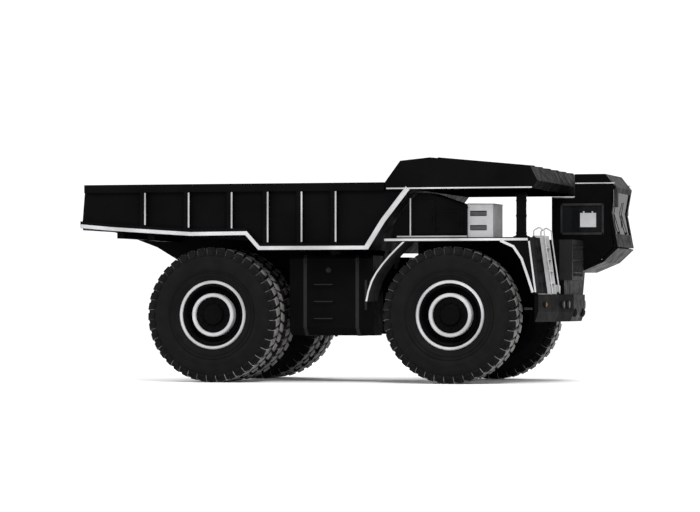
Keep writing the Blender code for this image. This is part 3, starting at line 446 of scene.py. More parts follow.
def cloth(name, colour):
    made, tree, shader = new_finish(name)
    shader.inputs["Sheen Weight"].default_value = 0.3
    shader.inputs["Roughness"].default_value = 0.9
    threads = [(0.3, scaled(colour, 0.7)), (0.75, scaled(colour, 1.5))]
    tree.links.new(ramp(tree, noise(tree, 40, 5), threads), shader.inputs["Base Color"])
    weave = tree.nodes.new("ShaderNodeTexChecker")
    place = tree.nodes.new("ShaderNodeTexCoord")
    weave.inputs["Scale"].default_value = 260
    tree.links.new(place.outputs["Object"], weave.inputs["Vector"])
    bump(tree, shader, weave.outputs["Fac"], 0.3, 0.001)
    return made


scoured = worn_floor()
sidewall = rubber("tyre_sidewall", (0.0022, 0.0022, 0.0023), (0.011, 0.0105, 0.010), 0.3)
# The tread's pale crown colour is partly dust and partly a painted highlight along the crown.
tread = rubber("tyre_tread", (0.004, 0.004, 0.004), (0.17, 0.166, 0.162), 1.0, 30, crown_dust_and_highlight=True)
trim_rubber = rubber("trim_rubber", (0.012, 0.012, 0.012), (0.05, 0.05, 0.05), 0.4, 90)
chromed = chrome()
dark_glass = glass("dark_tinted_glass", (0.004, 0.0045, 0.005), 0.94)
lamp_glass = glass("smoked_lamp_glass", (0.05, 0.052, 0.055), 0.95)
red_glass = glass("red_lamp_glass", (0.35, 0.01, 0.01), 0.95)
amber_glass = glass("amber_lamp_glass", (0.20, 0.07, 0.006), 0.95)
seat_cloth = cloth("seat_cloth", (0.03, 0.03, 0.035))
# The finishes of each slot. The first one also dresses the frame's own panels.
slot_groups = {
    "black_paint": (black, bed_black, scoured, trim_rubber),
    "silver_paint": (pale_paint_and_highlight, lamp_glass, amber_glass),
    "grey_paint": (grey_paint_and_highlight,),
    "dark_steel": (steel, red_glass),
    "polished_steel": (chromed,),
    "tyre": (sidewall, tread),
    "tinted_glass": (dark_glass,),
    "seat_fabric": (seat_cloth,),
}
usual_slot = {finish.name: slot for slot, group in slot_groups.items() for finish in group}
print("finishes", len(bpy.data.materials))

# %% [markdown]
# ## Dressing the frame
# Each frame panel names a slot in the engineering record, such as black paint or tinted glass, and
# one finish is made for each slot. The bed gets its own duller black, since rock and mud scour it,
# and the boards that the load slides on are bare scratched plate rather than paint.

# %% Finishes on the frame's own panels
slot_of = {row["node"]: row["material_slot"] for row in frame["record"]["subparts"]}
for name, node in nodes.items():
    finish = bed_black if name.startswith("bed_") else slot_groups[slot_of[name]][0]
    node.data.materials.clear()
    node.data.materials.append(finish)
print("dressed", len(nodes), "frame panels")

# %% [markdown]
# ## Tyres
# An earth-mover tyre is a fat ring with an almost flat crown, round shoulders and a bulging
# sidewall that ends in a bead on the rim. A lathe makes it: half an outline is spun about the
# axle. The tread is a ring of thick lugs, one lug modelled and then turned into place many times,
# because a real mould does the same. The six tyres share one shape, so it is built once and
# copied.

# %% One tyre carcass
tyre_low, tyre_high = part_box("tyre_front_right")
hub = (tyre_low + tyre_high) / 2
radius = (tyre_high.z - tyre_low.z) / 2
half = (tyre_high.y - tyre_low.y) / 2
BEAD = 0.50 * radius
crown = radius - 0.024
# From the bead up one side: (radius, how far out as a share of half the width).
side_line = [
    (BEAD, 0.60), (BEAD + 0.03, 0.72), (0.60 * radius, 0.86), (0.70 * radius, 0.955),
    (0.735 * radius, 0.985), (0.75 * radius, 0.965), (0.80 * radius, 0.99), (0.85 * radius, 0.97),
    (0.90 * radius, 0.92), (crown - 0.008, 0.84), (crown, 0.66),
]
carcass_outline = [(r, -half * share) for r, share in side_line] + [(crown + 0.004, 0.0)]
carcass_outline += [(r, half * share) for r, share in reversed(side_line)]
carcass_outline.append(carcass_outline[0])
carcass = turned(carcass_outline, hub, steps=72)
print("carcass faces", len(carcass.data.polygons))

# %% [markdown]
# The lug is a slanted bar whose foot is buried in the crown. Two rows leave a chevron pattern, and
# each lug wraps a little way down the shoulder, which gives a big tyre its toothed outline.

# %% One lug, then a ring of them
LUGS = 40


def lug(side, phase):
    top, inner, outer = radius - 0.002, 0.035, half * 0.93
    pitch = 2 * math.pi * (radius - 0.03) / LUGS
    made = outline(
        [
            (inner * side, top), (outer * 0.88 * side, top), (outer * side, top - 0.085),
            (outer * side, top - 0.15), (outer * 0.86 * side, crown - 0.09),
            (inner * side, crown - 0.05),
        ],
        plane="YZ",
        depth=(-0.36 * pitch, 0.36 * pitch),
    )
    edit_all()
    # The bar is slanted: its outer end is turned forward about the hub's vertical line.
    bpy.ops.transform.rotate(
        value=math.radians(14) * side, orient_axis="Z", center_override=(0, 0, 0)
    )
    bpy.ops.transform.translate(value=hub)
    bpy.ops.object.mode_set(mode="OBJECT")
    apply(
        made, "BEVEL", width=0.012, segments=2, limit_method="ANGLE", angle_limit=math.radians(40)
    )
    made.data.transform(turn_about(hub, phase * 2 * math.pi / LUGS))
    return smooth(ring_of(made, hub, LUGS), 30)


lugs = joined("lugs", [lug(1, 0.0), lug(-1, 0.5)])
print("lug faces", len(lugs.data.polygons))

# %% [markdown]
# A moulded ring of blocks sits just inside the shoulder of each sidewall, and two thin ribs run
# round it further in. They catch a line of light, as the grooves do on a real earth-mover tyre.

# %% Sidewall ribs, and all six tyres
def sidewall_rib(at, width, proud):
    face = half * 0.985
    profile = [
        (at - width, face - 0.03), (at - width * 0.6, face + proud),
        (at + width * 0.6, face + proud), (at + width, face - 0.03)
    ]
    return [turned(profile + [profile[0]], hub, steps=72, flip=side) for side in (1, -1)]


ribs = sidewall_rib(0.60 * radius, 0.012, -0.035) + sidewall_rib(0.655 * radius, 0.010, -0.012)
blocks = []
for side in (1, -1):
    face = hub.y + side * half * 0.955
    tooth = block(
        (hub.x - 0.05, face - 0.012, hub.z + 0.885 * radius),
        (hub.x + 0.05, face + 0.012, hub.z + 0.93 * radius), 0.006
    )
    blocks.append(smooth(ring_of(tooth, hub, LUGS)))
master_wall = joined("tyre_wall", [carcass] + ribs + blocks)
wall_size = len(master_wall.data.vertices)
for node_name in [name for name in nodes if name.startswith("tyre_")]:
    low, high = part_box(node_name)
    move = Matrix.Translation((low + high) / 2 - hub)
    body = nodes[node_name]["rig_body"]
    wall = copied(master_wall, move)
    wall.name = wall.data.name = node_name + "_wall"
    fit(wall, sidewall, body, stands_for=[node_name])
    treads = copied(lugs, move)
    treads.name = treads.data.name = node_name + "_lugs"
    fit(treads, tread, body)
bpy.data.objects.remove(master_wall)
bpy.data.objects.remove(lugs)
print("six tyres,", wall_size, "points in each wall")

# %% [markdown]
# ## Rims
# The photograph's brightest marks are the pale rings round each hub, so the rims deserve care. A
# lathe turns the whole rim from one outline: the outer flange, the gutter where the lock ring sits,
# the deep cone down to the disc, and the raised hub. Wheel nuts and clamps are then set in rings.


# %% Rim outlines
INSET = 0.14  # from a tyre's side face in to its bead
WHEEL_FACE = 2.40  # the outer side face of the outermost tyres


def rim_outline(faces, bore, cap, ring):
    """(radius, outward y) of a rim's section, from the hub's inside round to the hub cap."""
    inner, outer = faces[0] + INSET, faces[-1] - INSET
    seat, flange = 0.462 * radius, 0.508 * radius
    disc, hub_face = outer - 0.20, outer + 0.02
    line = [
        (0, cap), (bore, cap), (bore, faces[0] + 0.16), (bore + 0.07, faces[0] + 0.16),
        (bore + 0.075, disc - 0.09), (seat - 0.09, disc - 0.09), (seat - 0.04, disc - 0.05),
        (seat - 0.04, inner - 0.035), (flange, inner - 0.035), (flange, inner - 0.002),
        (seat, inner + 0.002),
    ]
    for low, high in zip(faces[1:-1:2], faces[2:-1:2]):
        low, high = low - INSET, high + INSET
        line += [
            (seat, low - 0.002), (flange, low + 0.002), (flange, low + 0.035), (seat, low + 0.04),
            (seat, high - 0.04), (flange, high - 0.035), (flange, high - 0.002),
            (seat, high + 0.002)
        ]
    return line + [
        (seat, outer - 0.002), (flange - 0.004, outer + 0.002), (flange, outer + 0.012),
        (flange - 0.002, outer + 0.034), (flange - 0.02, outer + 0.042),
        (flange - 0.045, outer + 0.036), (flange - 0.052, outer + 0.012),
        (seat - 0.022, outer + 0.008), (seat - 0.03, outer + 0.02), (seat - 0.042, outer + 0.02),
        (seat - 0.05, outer), (seat - 0.075, disc + 0.05), (seat - 0.10, disc + 0.012),
        (seat - 0.13, disc), (ring + 0.05, disc), (ring + 0.02, disc + 0.012),
        (ring + 0.005, disc + 0.04), (ring, hub_face - 0.015), (ring - 0.012, hub_face),
        (ring - 0.055, hub_face), (ring - 0.065, hub_face - 0.012), (ring - 0.075, hub_face - 0.06),
        (0.21, hub_face - 0.075), (0.20, hub_face - 0.02), (0.185, hub_face),
        (0.10, hub_face + 0.012), (0, hub_face + 0.014),
    ]


def bolts(centre, circle, count, face, side, size=0.02, height=0.03):
    """A ring of hexagonal nuts, each a six-sided bar with its rim rounded."""
    start = (centre.x, side * (face - 0.01), centre.z + circle)
    return ring_of(bar(start, (start[0], side * (face + height), start[2]), size, 6), centre, count)


# %% Build the four rims
for node_name in [name for name in nodes if name.startswith("rim_")]:
    low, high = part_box(node_name)
    side = 1 if low.y > 0 else -1
    centre = Vector(((low.x + high.x) / 2, 0, (low.z + high.z) / 2))
    rear_pair = "rear" in node_name
    faces = [0.82, 1.56, 1.66, WHEEL_FACE] if rear_pair else [1.66, WHEEL_FACE]
    bore, cap = (0.2406, 1.70) if rear_pair else (0.1406, 2.23)
    ring, lip, face = 0.43, 0.508 * radius, WHEEL_FACE - INSET
    body = nodes[node_name]["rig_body"]
    pieces = [turned(rim_outline(faces, bore, cap, ring), centre, steps=64, flip=side)]
    pieces.append(bolts(centre, ring + 0.075, 24, face - 0.20, side))
    pieces.append(bolts(centre, 0.255, 12, face - 0.06, side, 0.022, 0.035))
    pieces.append(bolts(centre, 0.13, 8, face + 0.03, side, 0.010, 0.012))
    valve = [
        (centre.x + 0.52 * side, side * (face - y), centre.z + z)
        for y, z in ((0.19, 0.05), (0.02, 0.03))
    ]
    pieces.append(bar(*valve, 0.009, 8))
    disc = joined(node_name + "_disc", pieces)
    fit(disc, black, body, stands_for=[node_name])
    # The pale bands on the flange lip and round the hub ring are painted highlights.
    flange_highlight_line = [
        (lip + 0.005, face), (lip + 0.005, face + 0.03), (lip - 0.012, face + 0.047),
        (lip - 0.05, face + 0.041), (lip - 0.06, face)
    ]
    ring_line = [
        (ring + 0.006, face - 0.15), (ring + 0.005, face + 0.008), (ring - 0.01, face + 0.025),
        (ring - 0.06, face + 0.025), (ring - 0.072, face), (ring - 0.072, face - 0.05)
    ]
    bands = [
        turned(line + [line[0]], centre, steps=64, flip=side) for line in (flange_highlight_line, ring_line)
    ]
    fit(joined(node_name + "_bands", bands), pale_paint_and_highlight, body)
print("four rims with bands, nuts and valves")

# %% [markdown]
# ## Trim on the bed
# Edge strips run along the bed's lower edge and up the slanted headboard. They are painted
# highlights:
# pale paint where these edges would catch the light, the lines that draw the bed's shape against the
# black. Each one is an outline, extruded to the strip's thickness and bevelled.


# %% Edge strips
def strip(line, width, face, side, proud=0.014, bevel=0.004):
    """A flat strip of the given width that follows a line in side view, on an outer face."""
    line = [Vector((x, z)) for x, z in line]
    edges = []
    for i, point in enumerate(line):
        before = (point - line[i - 1]).normalized() if i else None
        after = (line[i + 1] - point).normalized() if i < len(line) - 1 else before
        before = before or after
        lean = Vector((-(before + after).y, (before + after).x)).normalized()
        edges.append(point + lean * (width / max(0.5, lean.dot(Vector((-after.y, after.x))))))
    made = outline(
        [tuple(p) for p in line + edges[::-1]], depth=(side * (face - 0.006), side * (face + proud))
    )
    return apply(
        made, "BEVEL", width=bevel, segments=1, limit_method="ANGLE", angle_limit=math.radians(50)
    )


bed_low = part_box("bed_side_right")[0]
face = -bed_low.y
low_edge = [
    (bed_low.x + 0.004, 3.104), (-4.55, 3.044), (-2.88, 2.934), (-1.73, 2.944), (-1.46, 2.646),
    (0.80, 2.646)
]
slant = [(0.80, 2.646), (1.14, 3.18), (1.55, 3.70), (1.645, 3.822)]
rib_feet = ((-3.88, 3.16), (-2.96, 3.10), (-2.06, 3.08), (-1.31, 2.80), (-0.61, 2.80), (0.09, 2.80))
for side, label in ((-1, "right"), (1, "left")):
    highlight_lips = [strip(low_edge, 0.075, face, side), strip(slant, 0.10, face, side, 0.018)]
    fit(joined("bed_edge_highlight_strips_" + label, highlight_lips), pale_paint_and_highlight, "bed")
    y0, y1 = side * face - 0.008, side * face + 0.008
    # Pale caps on the ribs' edges are painted highlights.
    caps = [block((x + 0.03, y0, z), (x + 0.062, y1, 3.80), 0.004) for x, z in rib_feet]
    fit(joined("bed_rib_highlight_edges_" + label, caps), grey_paint_and_highlight, "bed")
print("bed strips and rib edges")

# %% [markdown]
# Inside, the load floor is lined with thick plates that can be changed when they wear through. They
# lie on the sloping floor with a narrow joint between them, and rock polishes them bare, so the
# scoured finish goes on these plates and on nothing else.


# %% Wear plates in the bed
def floor_z(x):
    """The load floor's upper face: a straight fall from the tail to the headboard."""
    return 3.18 + (x + 5.21) / 6.01 * (2.74 - 3.18)


plates = []
splits = [-5.17, -4.0, -2.8, -1.6, -0.4, 0.62]
for start, end in zip(splits, splits[1:]):
    for y in (-2.41, -0.80, 0.81):
        made = outline(
            [(start, floor_z(start) + 0.001), (end - 0.015, floor_z(end - 0.015) + 0.001),
             (end - 0.015, floor_z(end - 0.015) + 0.021), (start, floor_z(start) + 0.021)],
            depth=(y, y + 1.595),
        )
        plates.append(eased(made, 0.005))
fit(joined("bed_wear_plates", plates), scoured, "bed")
liners = []
for side in (1, -1):
    for start, end in ((-5.1, -3.4), (-3.38, -1.7), (-1.68, 0.2)):
        bottom = max(floor_z(start), floor_z(end)) + 0.03
        inner = side * 2.437
        low_y, high_y = sorted((inner, inner - side * 0.012))
        liners.append(block((start, low_y, bottom), (end, high_y, bottom + 0.42), 0.004))
fit(joined("bed_side_liners", liners), scoured, "bed")
print("wear plates", len(plates), "liners", len(liners))

# %% [markdown]
# The canopy over the decks is a folded plate, and long ribs on its top keep it from drumming. A pale
# lip along its side edges is a painted highlight, and a worn lip of bare plate closes the floor's
# tail.

# %% Canopy ribs and lip, tail lip
rib_line = [(1.50, 4.37), (2.05, 4.43), (2.08, 4.475), (4.02, 4.29), (4.05, 4.235)]
ribs = [outline(rib_line, depth=(y - 0.035, y + 0.035)) for y in (-2.0, -1.2, -0.4, 0.4, 1.2, 2.0)]
ribs.append(block((1.58, -2.42, 4.36), (1.66, 2.42, 4.42), 0.01))
ribs = [eased(rib, 0.008) for rib in ribs]
fit(joined("canopy_ribs", ribs), bed_black, "bed")
highlight_lips = [strip([(1.17, 3.832), (4.095, 3.832)], 0.028, face, side, 0.010, 0.003) for side in (1, -1)]
fit(joined("canopy_edge_highlight_lips", highlight_lips), pale_paint_and_highlight, "bed")
tail = block((-5.225, -2.42, 3.06), (-5.20, 2.42, 3.20), 0.008)
fit(placed(tail, "bed_tail_lip"), scoured, "bed")
print("canopy ribs", len(ribs))

# %% [markdown]
# ## Decks, fenders and mud guards
# The photograph draws the front fender as bright lines that follow the tyre. Here they are painted
# highlights: pale strips on the deck's edge and round the wheel arch. Behind the tyre a curved mud
# guard
# hangs from the deck: its line stays clear of the tyre at full lock, so it is not a true circle
# round the axle. A pale strip on its edge is a painted highlight too.

# %% Deck edge and arch painted highlights
deck_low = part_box("deck_right")[0]
deck_face = -deck_low.y
arch = [(3.42, 2.79), (3.675, 2.675), (3.835, 2.44), (3.955, 2.095), (4.055, 1.79)]
highlight_lips = [
    strip([(deck_low.x + 0.01, 2.812), (3.98, 2.812)], 0.048, deck_face, -1),
    strip(arch[::-1], -0.05, deck_face, -1),
    strip([(4.115, 1.80), (3.985, 2.80)], -0.035, deck_face, -1),
]
fit(joined("fender_highlight_lips_right", highlight_lips), pale_paint_and_highlight)
arch_left = [
    (3.42, 2.79), (3.655, 2.65), (3.775, 2.39), (3.80, 2.23), (3.925, 1.995), (4.035, 1.79)
]
highlight_lips = [
    strip([(deck_low.x + 0.01, 2.812), (3.80, 2.812)], 0.048, deck_face, 1),
    strip(arch_left[::-1], -0.05, deck_face, 1)
]
fit(joined("fender_highlight_lips_left", highlight_lips), pale_paint_and_highlight)

guard = [
    (1.50, 2.792), (1.36, 2.66), (1.20, 2.50), (1.06, 2.34), (0.94, 2.18), (0.85, 2.02),
    (0.78, 1.82), (0.738, 1.62)
]
back = [(x - 0.012, z + 0.008) for x, z in guard]
for side, label in ((-1, "right"), (1, "left")):
    sheet = outline(guard + back[::-1], depth=(side * 1.62, side * 2.44))
    # The guard's pale edge strip is a painted highlight.
    rib = strip(guard[::-1], 0.035, 2.44, side, 0.006, 0.003)
    fit(placed(sheet, "mud_guard_" + label), trim_rubber)
    fit(placed(rib, "mud_guard_highlight_lip_" + label), pale_paint_and_highlight)
print("fender lips and mud guards")

# %% [markdown]
# The deck plates are walked on, so raised studs grip the boots. One stud is modelled and repeated
# by an object-offset Array, twice, which is how such a plate is pressed: one die, many strokes.


# %% Anti-slip studs
DECK_TOP = 2.8805  # half a millimetre above the plate, where fittings stand


def studs(name, low, high, z, pitch=0.16):
    stud = block(
        (low[0], low[1], z - 0.004), (low[0] + 0.05, low[1] + 0.016, z + 0.005), 0.002, segments=1
    )
    for axis, length in ((0, high[0] - low[0]), (1, high[1] - low[1])):
        step = bpy.data.objects.new("step", None)
        bpy.context.scene.collection.objects.link(step)
        step.location[axis] = pitch
        bpy.context.view_layer.update()
        apply(
            stud, "ARRAY", use_relative_offset=False, use_object_offset=True, offset_object=step,
            count=int(length / pitch)
        )
        bpy.data.objects.remove(step)
    return placed(stud, name)


fit(studs("deck_studs_right", (2.85, -1.25), (3.85, -0.68), 2.88), black)
fit(studs("deck_studs_left", (1.25, 0.75), (3.75, 2.35), 2.88), black)
print("deck studs")

# %% [markdown]
# ## The cab
# The cab's windows sit in black rubber, so each gets a frame of rounded bars. A gutter runs
# round the roof, and a blank white plate hangs inside the near window, where a mine paints the
# truck's number.


# %% Window rubbers and gutters
def frame_round(low, high, face, depth, width):
    """A rubber frame from four rounded bars that lap at the corners, on a face across Y."""
    (x0, z0), (x1, z1), y0, y1 = low, high, min(face, face + depth), max(face, face + depth)
    sides = [
        ((x0, z0), (x1, z0 + width)), ((x0, z1 - width), (x1, z1)), ((x0, z0), (x0 + width, z1)),
        ((x1 - width, z0), (x1, z1))
    ]
    return joined(
        "rim",
        [block((a, y0, b), (c, y1, d), 0.45 * min(width, y1 - y0)) for (a, b), (c, d) in sides]
    )


seal = frame_round((4.02, 2.98), (4.92, 3.62), 0.606, 0.016, 0.045)
fit(placed(seal, "side_window_rubber"), trim_rubber)
door_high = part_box("cab_door")[1]
glass_low, glass_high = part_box("door_window")
seal = frame_round(
    (glass_low.x - 0.03, glass_low.z - 0.03), (glass_high.x + 0.03, glass_high.z + 0.03),
    door_high.y - 0.004, 0.016, 0.045
)
fit(placed(seal, "door_window_rubber"), trim_rubber, "door")

gutter = []
for y, side in ((0.62, -1), (2.50, 1)):
    gutter.append(strip([(4.33, 4.02), (5.14, 4.02)], 0.024, side * y, side, 0.012, 0.003))
    gutter.append(strip([(3.85, 3.735), (4.31, 3.735)], 0.018, side * y, side, 0.010, 0.003))
fit(joined("roof_gutters", gutter), pale_paint_and_highlight)
plate = block((4.43, 0.604, 3.135), (4.76, 0.622, 3.425), 0.004)
tabs = [block((x, 0.602, 3.42), (x + 0.03, 0.624, 3.46), 0.003) for x in (4.49, 4.67)]
fit(joined("blank_number_plate", [plate] + tabs), pale_paint_and_highlight)
print("cab rubbers, gutters and plate")

# %% [markdown]
# A driver needs wipers, mirrors, a handle and something to hold while climbing in. The mirrors hang
# on bent arms: each arm is a point extruded along its route, given thickness by a Skin modifier.


# %% Bent bars
def bent(spots, radius):
    """A round rail: its route extruded point by point, then skinned and smoothed."""
    made = chain([Vector(spot) for spot in spots])
    only(made)
    made.modifiers.new("Skin", "SKIN")
    for dot in made.data.skin_vertices[0].data:
        dot.radius = (radius, radius)
    bpy.ops.object.modifier_apply(modifier="Skin")
    apply(made, "SUBSURF", levels=1)
    return smooth(made, 60)


def mirror(base, head):
    """A mirror head on its arm: a rounded shell with a paler glass let into its rear face."""
    x, y, z = head
    arm = bent([base, (base[0] + 0.02, y, base[2]), (x, y, z + 0.22), (x, y, z - 0.10)], 0.013)
    shell = block(
        (x - 0.03, y - 0.10, z - 0.19), (x + 0.035, y + 0.10, z + 0.19), 0.022, segments=3
    )
    reflector = block((x - 0.036, y - 0.085, z - 0.17), (x - 0.029, y + 0.085, z + 0.17), 0.003)
    return joined("mirror", [arm, shell]), reflector


for label, base, head in (
    ("left", (5.10, 2.47, 3.95), (5.02, 2.66, 3.60)),
    ("right", (5.16, 0.66, 3.98), (5.20, 0.46, 3.72))
):
    housing, reflector = mirror(base, head)
    housing.name = "mirror_housing_" + label
    fit(housing, trim_rubber)
    fit(placed(reflector, "mirror_glass_" + label), chromed)
handle = bent(
    [(4.10, 2.512, 2.80), (4.10, 2.545, 2.80), (4.24, 2.545, 2.80), (4.24, 2.512, 2.80)], 0.011
)
lock = bar((4.06, 2.495, 2.86), (4.06, 2.512, 2.86), 0.018, 16)
fit(joined("door_handle", [handle, lock]), chromed, "door")
rail = bent([(3.90, 2.49, 2.62), (3.90, 2.56, 2.62), (3.90, 2.56, 3.56), (3.90, 2.49, 3.56)], 0.014)
fit(placed(rail, "cab_grab_rail_rear"), pale_paint_and_highlight)
print("mirrors, handle and rail")

# %% [markdown]
# ## On the right deck
# The black cabinet holds the truck's electrical controls and the pale box beside it blows cooling
# air. The cabinet gets doors with hinges and a handle, and the box gets the two dark louvres that
# show in the photograph. A louvre is a bank of slanted blades in a frame.


# %% Cabinet doors
def cabinet_door(x0, x1, z0, z1, face):
    leaf = block((x0, face - 0.018, z0), (x1, face + 0.004, z1), 0.006)
    bpy.ops.object.mode_set(mode="EDIT")
    bpy.ops.mesh.select_mode(type="FACE")
    bpy.ops.mesh.select_all(action="DESELECT")
    bpy.ops.object.mode_set(mode="OBJECT")
    front_face = max((f for f in leaf.data.polygons if f.normal.y < -0.9), key=lambda f: f.area)
    front_face.select = True
    bpy.ops.object.mode_set(mode="EDIT")
    bpy.ops.mesh.inset(thickness=0.05)
    bpy.ops.mesh.inset(thickness=0.008, depth=-0.006)
    bpy.ops.object.mode_set(mode="OBJECT")
    extras = [
        bar((x0 + 0.012, face - 0.022, z), (x0 + 0.012, face - 0.022, z + 0.08), 0.010, 10)
        for z in (z0 + 0.06, z1 - 0.14)
    ]
    x, z = x1 - 0.07, (z0 + z1) / 2
    extras.append(bar((x, face - 0.016, z), (x, face - 0.04, z), 0.016, 12))
    grip_low, grip_high = (x1 - 0.08, face - 0.048, z - 0.07), (x1 - 0.06, face - 0.036, z + 0.02)
    extras.append(block(grip_low, grip_high, 0.004))
    return joined("door", [leaf] + extras)


cab_low, cab_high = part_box("control_cabinet")
doors = [
    cabinet_door(x0, x1, 2.95, top, cab_low.y)
    for x0, x1, top in ((1.62, 2.10, 3.62), (2.13, 2.68, 3.42))
]
fit(joined("cabinet_doors", doors), black)
# The pale trim on the cabinet's post and foot is a painted highlight.
post_highlight_trim = [block((1.585, cab_low.y - 0.014, 2.90), (1.612, cab_low.y + 0.004, 3.66), 0.004)]
post_highlight_trim += [block((1.32, cab_low.y - 0.010, 2.885), (2.74, cab_low.y + 0.004, 2.915), 0.004)]
fit(joined("cabinet_highlight_trim", post_highlight_trim), grey_paint_and_highlight)
lid = outline(
    [(1.66, 3.762), (1.96, 3.762), (2.76, 3.482), (2.76, 3.462), (1.96, 3.742), (1.66, 3.742)],
    depth=(cab_low.y - 0.02, cab_high.y + 0.02)
)
lid = eased(lid, 0.005)
fit(placed(lid, "cabinet_rain_lid"), black)
print("cabinet doors")

# %% Louvres on the cooling box
box_low, box_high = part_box("cooling_air_box")


def louvre(x0, x1, z0, z1, face, blades):
    frame_rim = frame_round((x0, z0), (x1, z1), face - 0.012, 0.014, 0.012)
    slats = []
    for i in range(blades):
        z = z0 + 0.012 + (z1 - z0 - 0.024) * (i + 0.5) / blades
        ends = (x0 + 0.01, face - 0.010, z - 0.005), (x1 - 0.01, face + 0.006, z + 0.005)
        slats.append(block(*ends, 0.002, turn=(math.radians(-28), 0, 0)))
    return joined("louvre", [frame_rim] + slats)


banks = [
    louvre(box_low.x + 0.05, box_low.x + 0.38, z, z + 0.10, box_low.y, 4) for z in (3.30, 3.02)
]
fit(joined("cooling_box_louvres", banks), steel)
hood = outline(
    [
        (box_low.x - 0.002, 3.524), (box_high.x + 0.012, 3.524), (box_high.x + 0.012, 3.544),
        (box_low.x - 0.002, 3.554)
    ],
    depth=(box_low.y - 0.015, box_high.y + 0.015)
)
bolts_on = [
    bar((x, box_low.y - 0.008, z), (x, box_low.y + 0.004, z), 0.009, 6)
    for x in (box_low.x + 0.025, box_high.x - 0.025) for z in (2.93, 3.46)
]
duct = bar((3.0, -1.46, 3.2), (3.0, -1.30, 3.2), 0.14, 24)
elbow = bent([(3.0, -1.34, 3.2), (3.0, -1.05, 3.2), (3.0, -0.92, 3.05), (3.0, -0.90, 2.885)], 0.125)
fit(joined("cooling_box_lid", [eased(hood, 0.004)] + bolts_on), grey_paint_and_highlight)
fit(joined("cooling_duct", [duct, elbow]), trim_rubber)
print("louvres and duct")

# %% Intake stack cap and clamps
stack_low, stack_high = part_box("intake_stack")
at = (stack_low + stack_high) / 2
cap = turned(
    [
        (0, 0.075), (0.05, 0.07), (0.115, 0.04), (0.125, 0.012), (0.118, 0.0), (0.108, 0.004),
        (0.1, 0.03), (0.05, 0.045), (0, 0.048)
    ],
    (at.x, at.y, stack_high.z - 0.05), axis="Z", steps=32
)
clamps = [
    turned(
        [(0.098, -0.02), (0.108, -0.018), (0.108, 0.018), (0.098, 0.02), (0.098, -0.02)],
        (at.x, at.y, z), axis="Z", steps=32
    )
    for z in (2.96, 3.30, 3.60)
]
foot = turned(
    [(0, 0.0), (0.16, 0.0), (0.16, 0.02), (0.12, 0.026), (0.104, 0.05), (0.09, 0.05), (0, 0.03)],
    (at.x, at.y, DECK_TOP), axis="Z", steps=32
)
fit(joined("intake_cap_and_clamps", [cap, foot] + clamps), black)
print("intake stack")

# %% [markdown]
# ## The front
# Between the fenders stands the radiator behind a grille of upright bars. Lamps sit in the bumper,
# three a side, and the one at the ladder's foot has its shell and lens painted pale: a painted
# highlight. A lamp is a bowl, a smoked lens and a rim, so it is turned on the lathe like the wheels.

# %% Radiator grille and bumper
rad_low, rad_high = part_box("radiator")
x, z0, z1 = rad_high.x, rad_low.z + 0.09, rad_high.z - 0.11
bars = [
    block((x - 0.03, y - 0.006, z0), (x + 0.006, y + 0.006, z1), 0.003, segments=1)
    for y in [i * 0.046 - 0.506 for i in range(23)]
]
bars += [
    block((x - 0.02, -0.525, z - 0.012), (x + 0.012, 0.525, z + 0.012), 0.004)
    for z in (2.20, 2.45, 2.70)
]
fit(joined("radiator_grille", bars), steel)


def lamp(place, size, name, lens_finish):
    """A round lamp: housing and rim in one turned piece, and its domed lens."""
    shell = turned(
        [
            (0, -0.06), (size * 0.7, -0.055), (size * 0.98, -0.02), (size, 0.004),
            (size * 1.02, 0.016), (size * 0.9, 0.018), (size * 0.86, 0.004), (0, 0.002)
        ],
        place, axis="X", steps=32
    )
    lens = turned(
        [(0, 0.004), (size * 0.86, 0.005), (size * 0.8, 0.016), (size * 0.45, 0.026), (0, 0.03)],
        place, axis="X", steps=32
    )
    fit(placed(shell, name + "_shell"), trim_rubber)
    fit(placed(lens, name + "_lens"), lens_finish)


for side, label in ((-1, "right"), (1, "left")):
    lamp((4.475, side * 0.82, 1.56), 0.085, "head_lamp_inner_" + label, lamp_glass)
    lamp((4.415, side * 1.06, 1.56), 0.085, "head_lamp_outer_" + label, lamp_glass)
    lamp((4.25, side * 2.02, 1.56), 0.055, "turn_lamp_" + label, amber_glass)
# The ladder lamp's shell and lens are painted pale: a painted highlight.
work_shell = block((4.20, -1.13, 1.80), (4.32, -0.93, 1.95), 0.02, segments=3)
work_face = block((4.315, -1.11, 1.82), (4.33, -0.95, 1.93), 0.012)
stalk = block((4.23, -1.05, 1.755), (4.27, -1.01, 1.81), 0.006)
fit(joined("ladder_lamp_pale_highlight", [work_shell, stalk]), pale_paint_and_highlight)
fit(placed(work_face, "ladder_lamp_lens"), pale_paint_and_highlight)
hooks = []
for side in (-1, 1):
    plate = outline(
        [(4.48, 1.31), (4.54, 1.31), (4.57, 1.36), (4.575, 1.42), (4.55, 1.48), (4.48, 1.50)],
        depth=(side * 0.40 - 0.03, side * 0.40 + 0.03)
    )
    pin = bar((4.55, side * 0.40 - 0.05, 1.41), (4.55, side * 0.40 + 0.05, 1.41), 0.022, 16)
    hooks += [eased(plate, 0.008, 2), pin]
fit(joined("tow_lugs", hooks), steel)
tread_plate = outline(
    [(4.08, 1.762), (4.30, 1.762), (4.32, 1.772), (4.08, 1.774)], depth=(-2.30, -1.20)
)
fit(placed(eased(tread_plate, 0.003), "bumper_step"), grey_paint_and_highlight)
print("front end")

# %% [markdown]
# The ladder leans against the deck, and the photograph shows a second pale line beside it: a
# hand rail that bends over on to the deck.

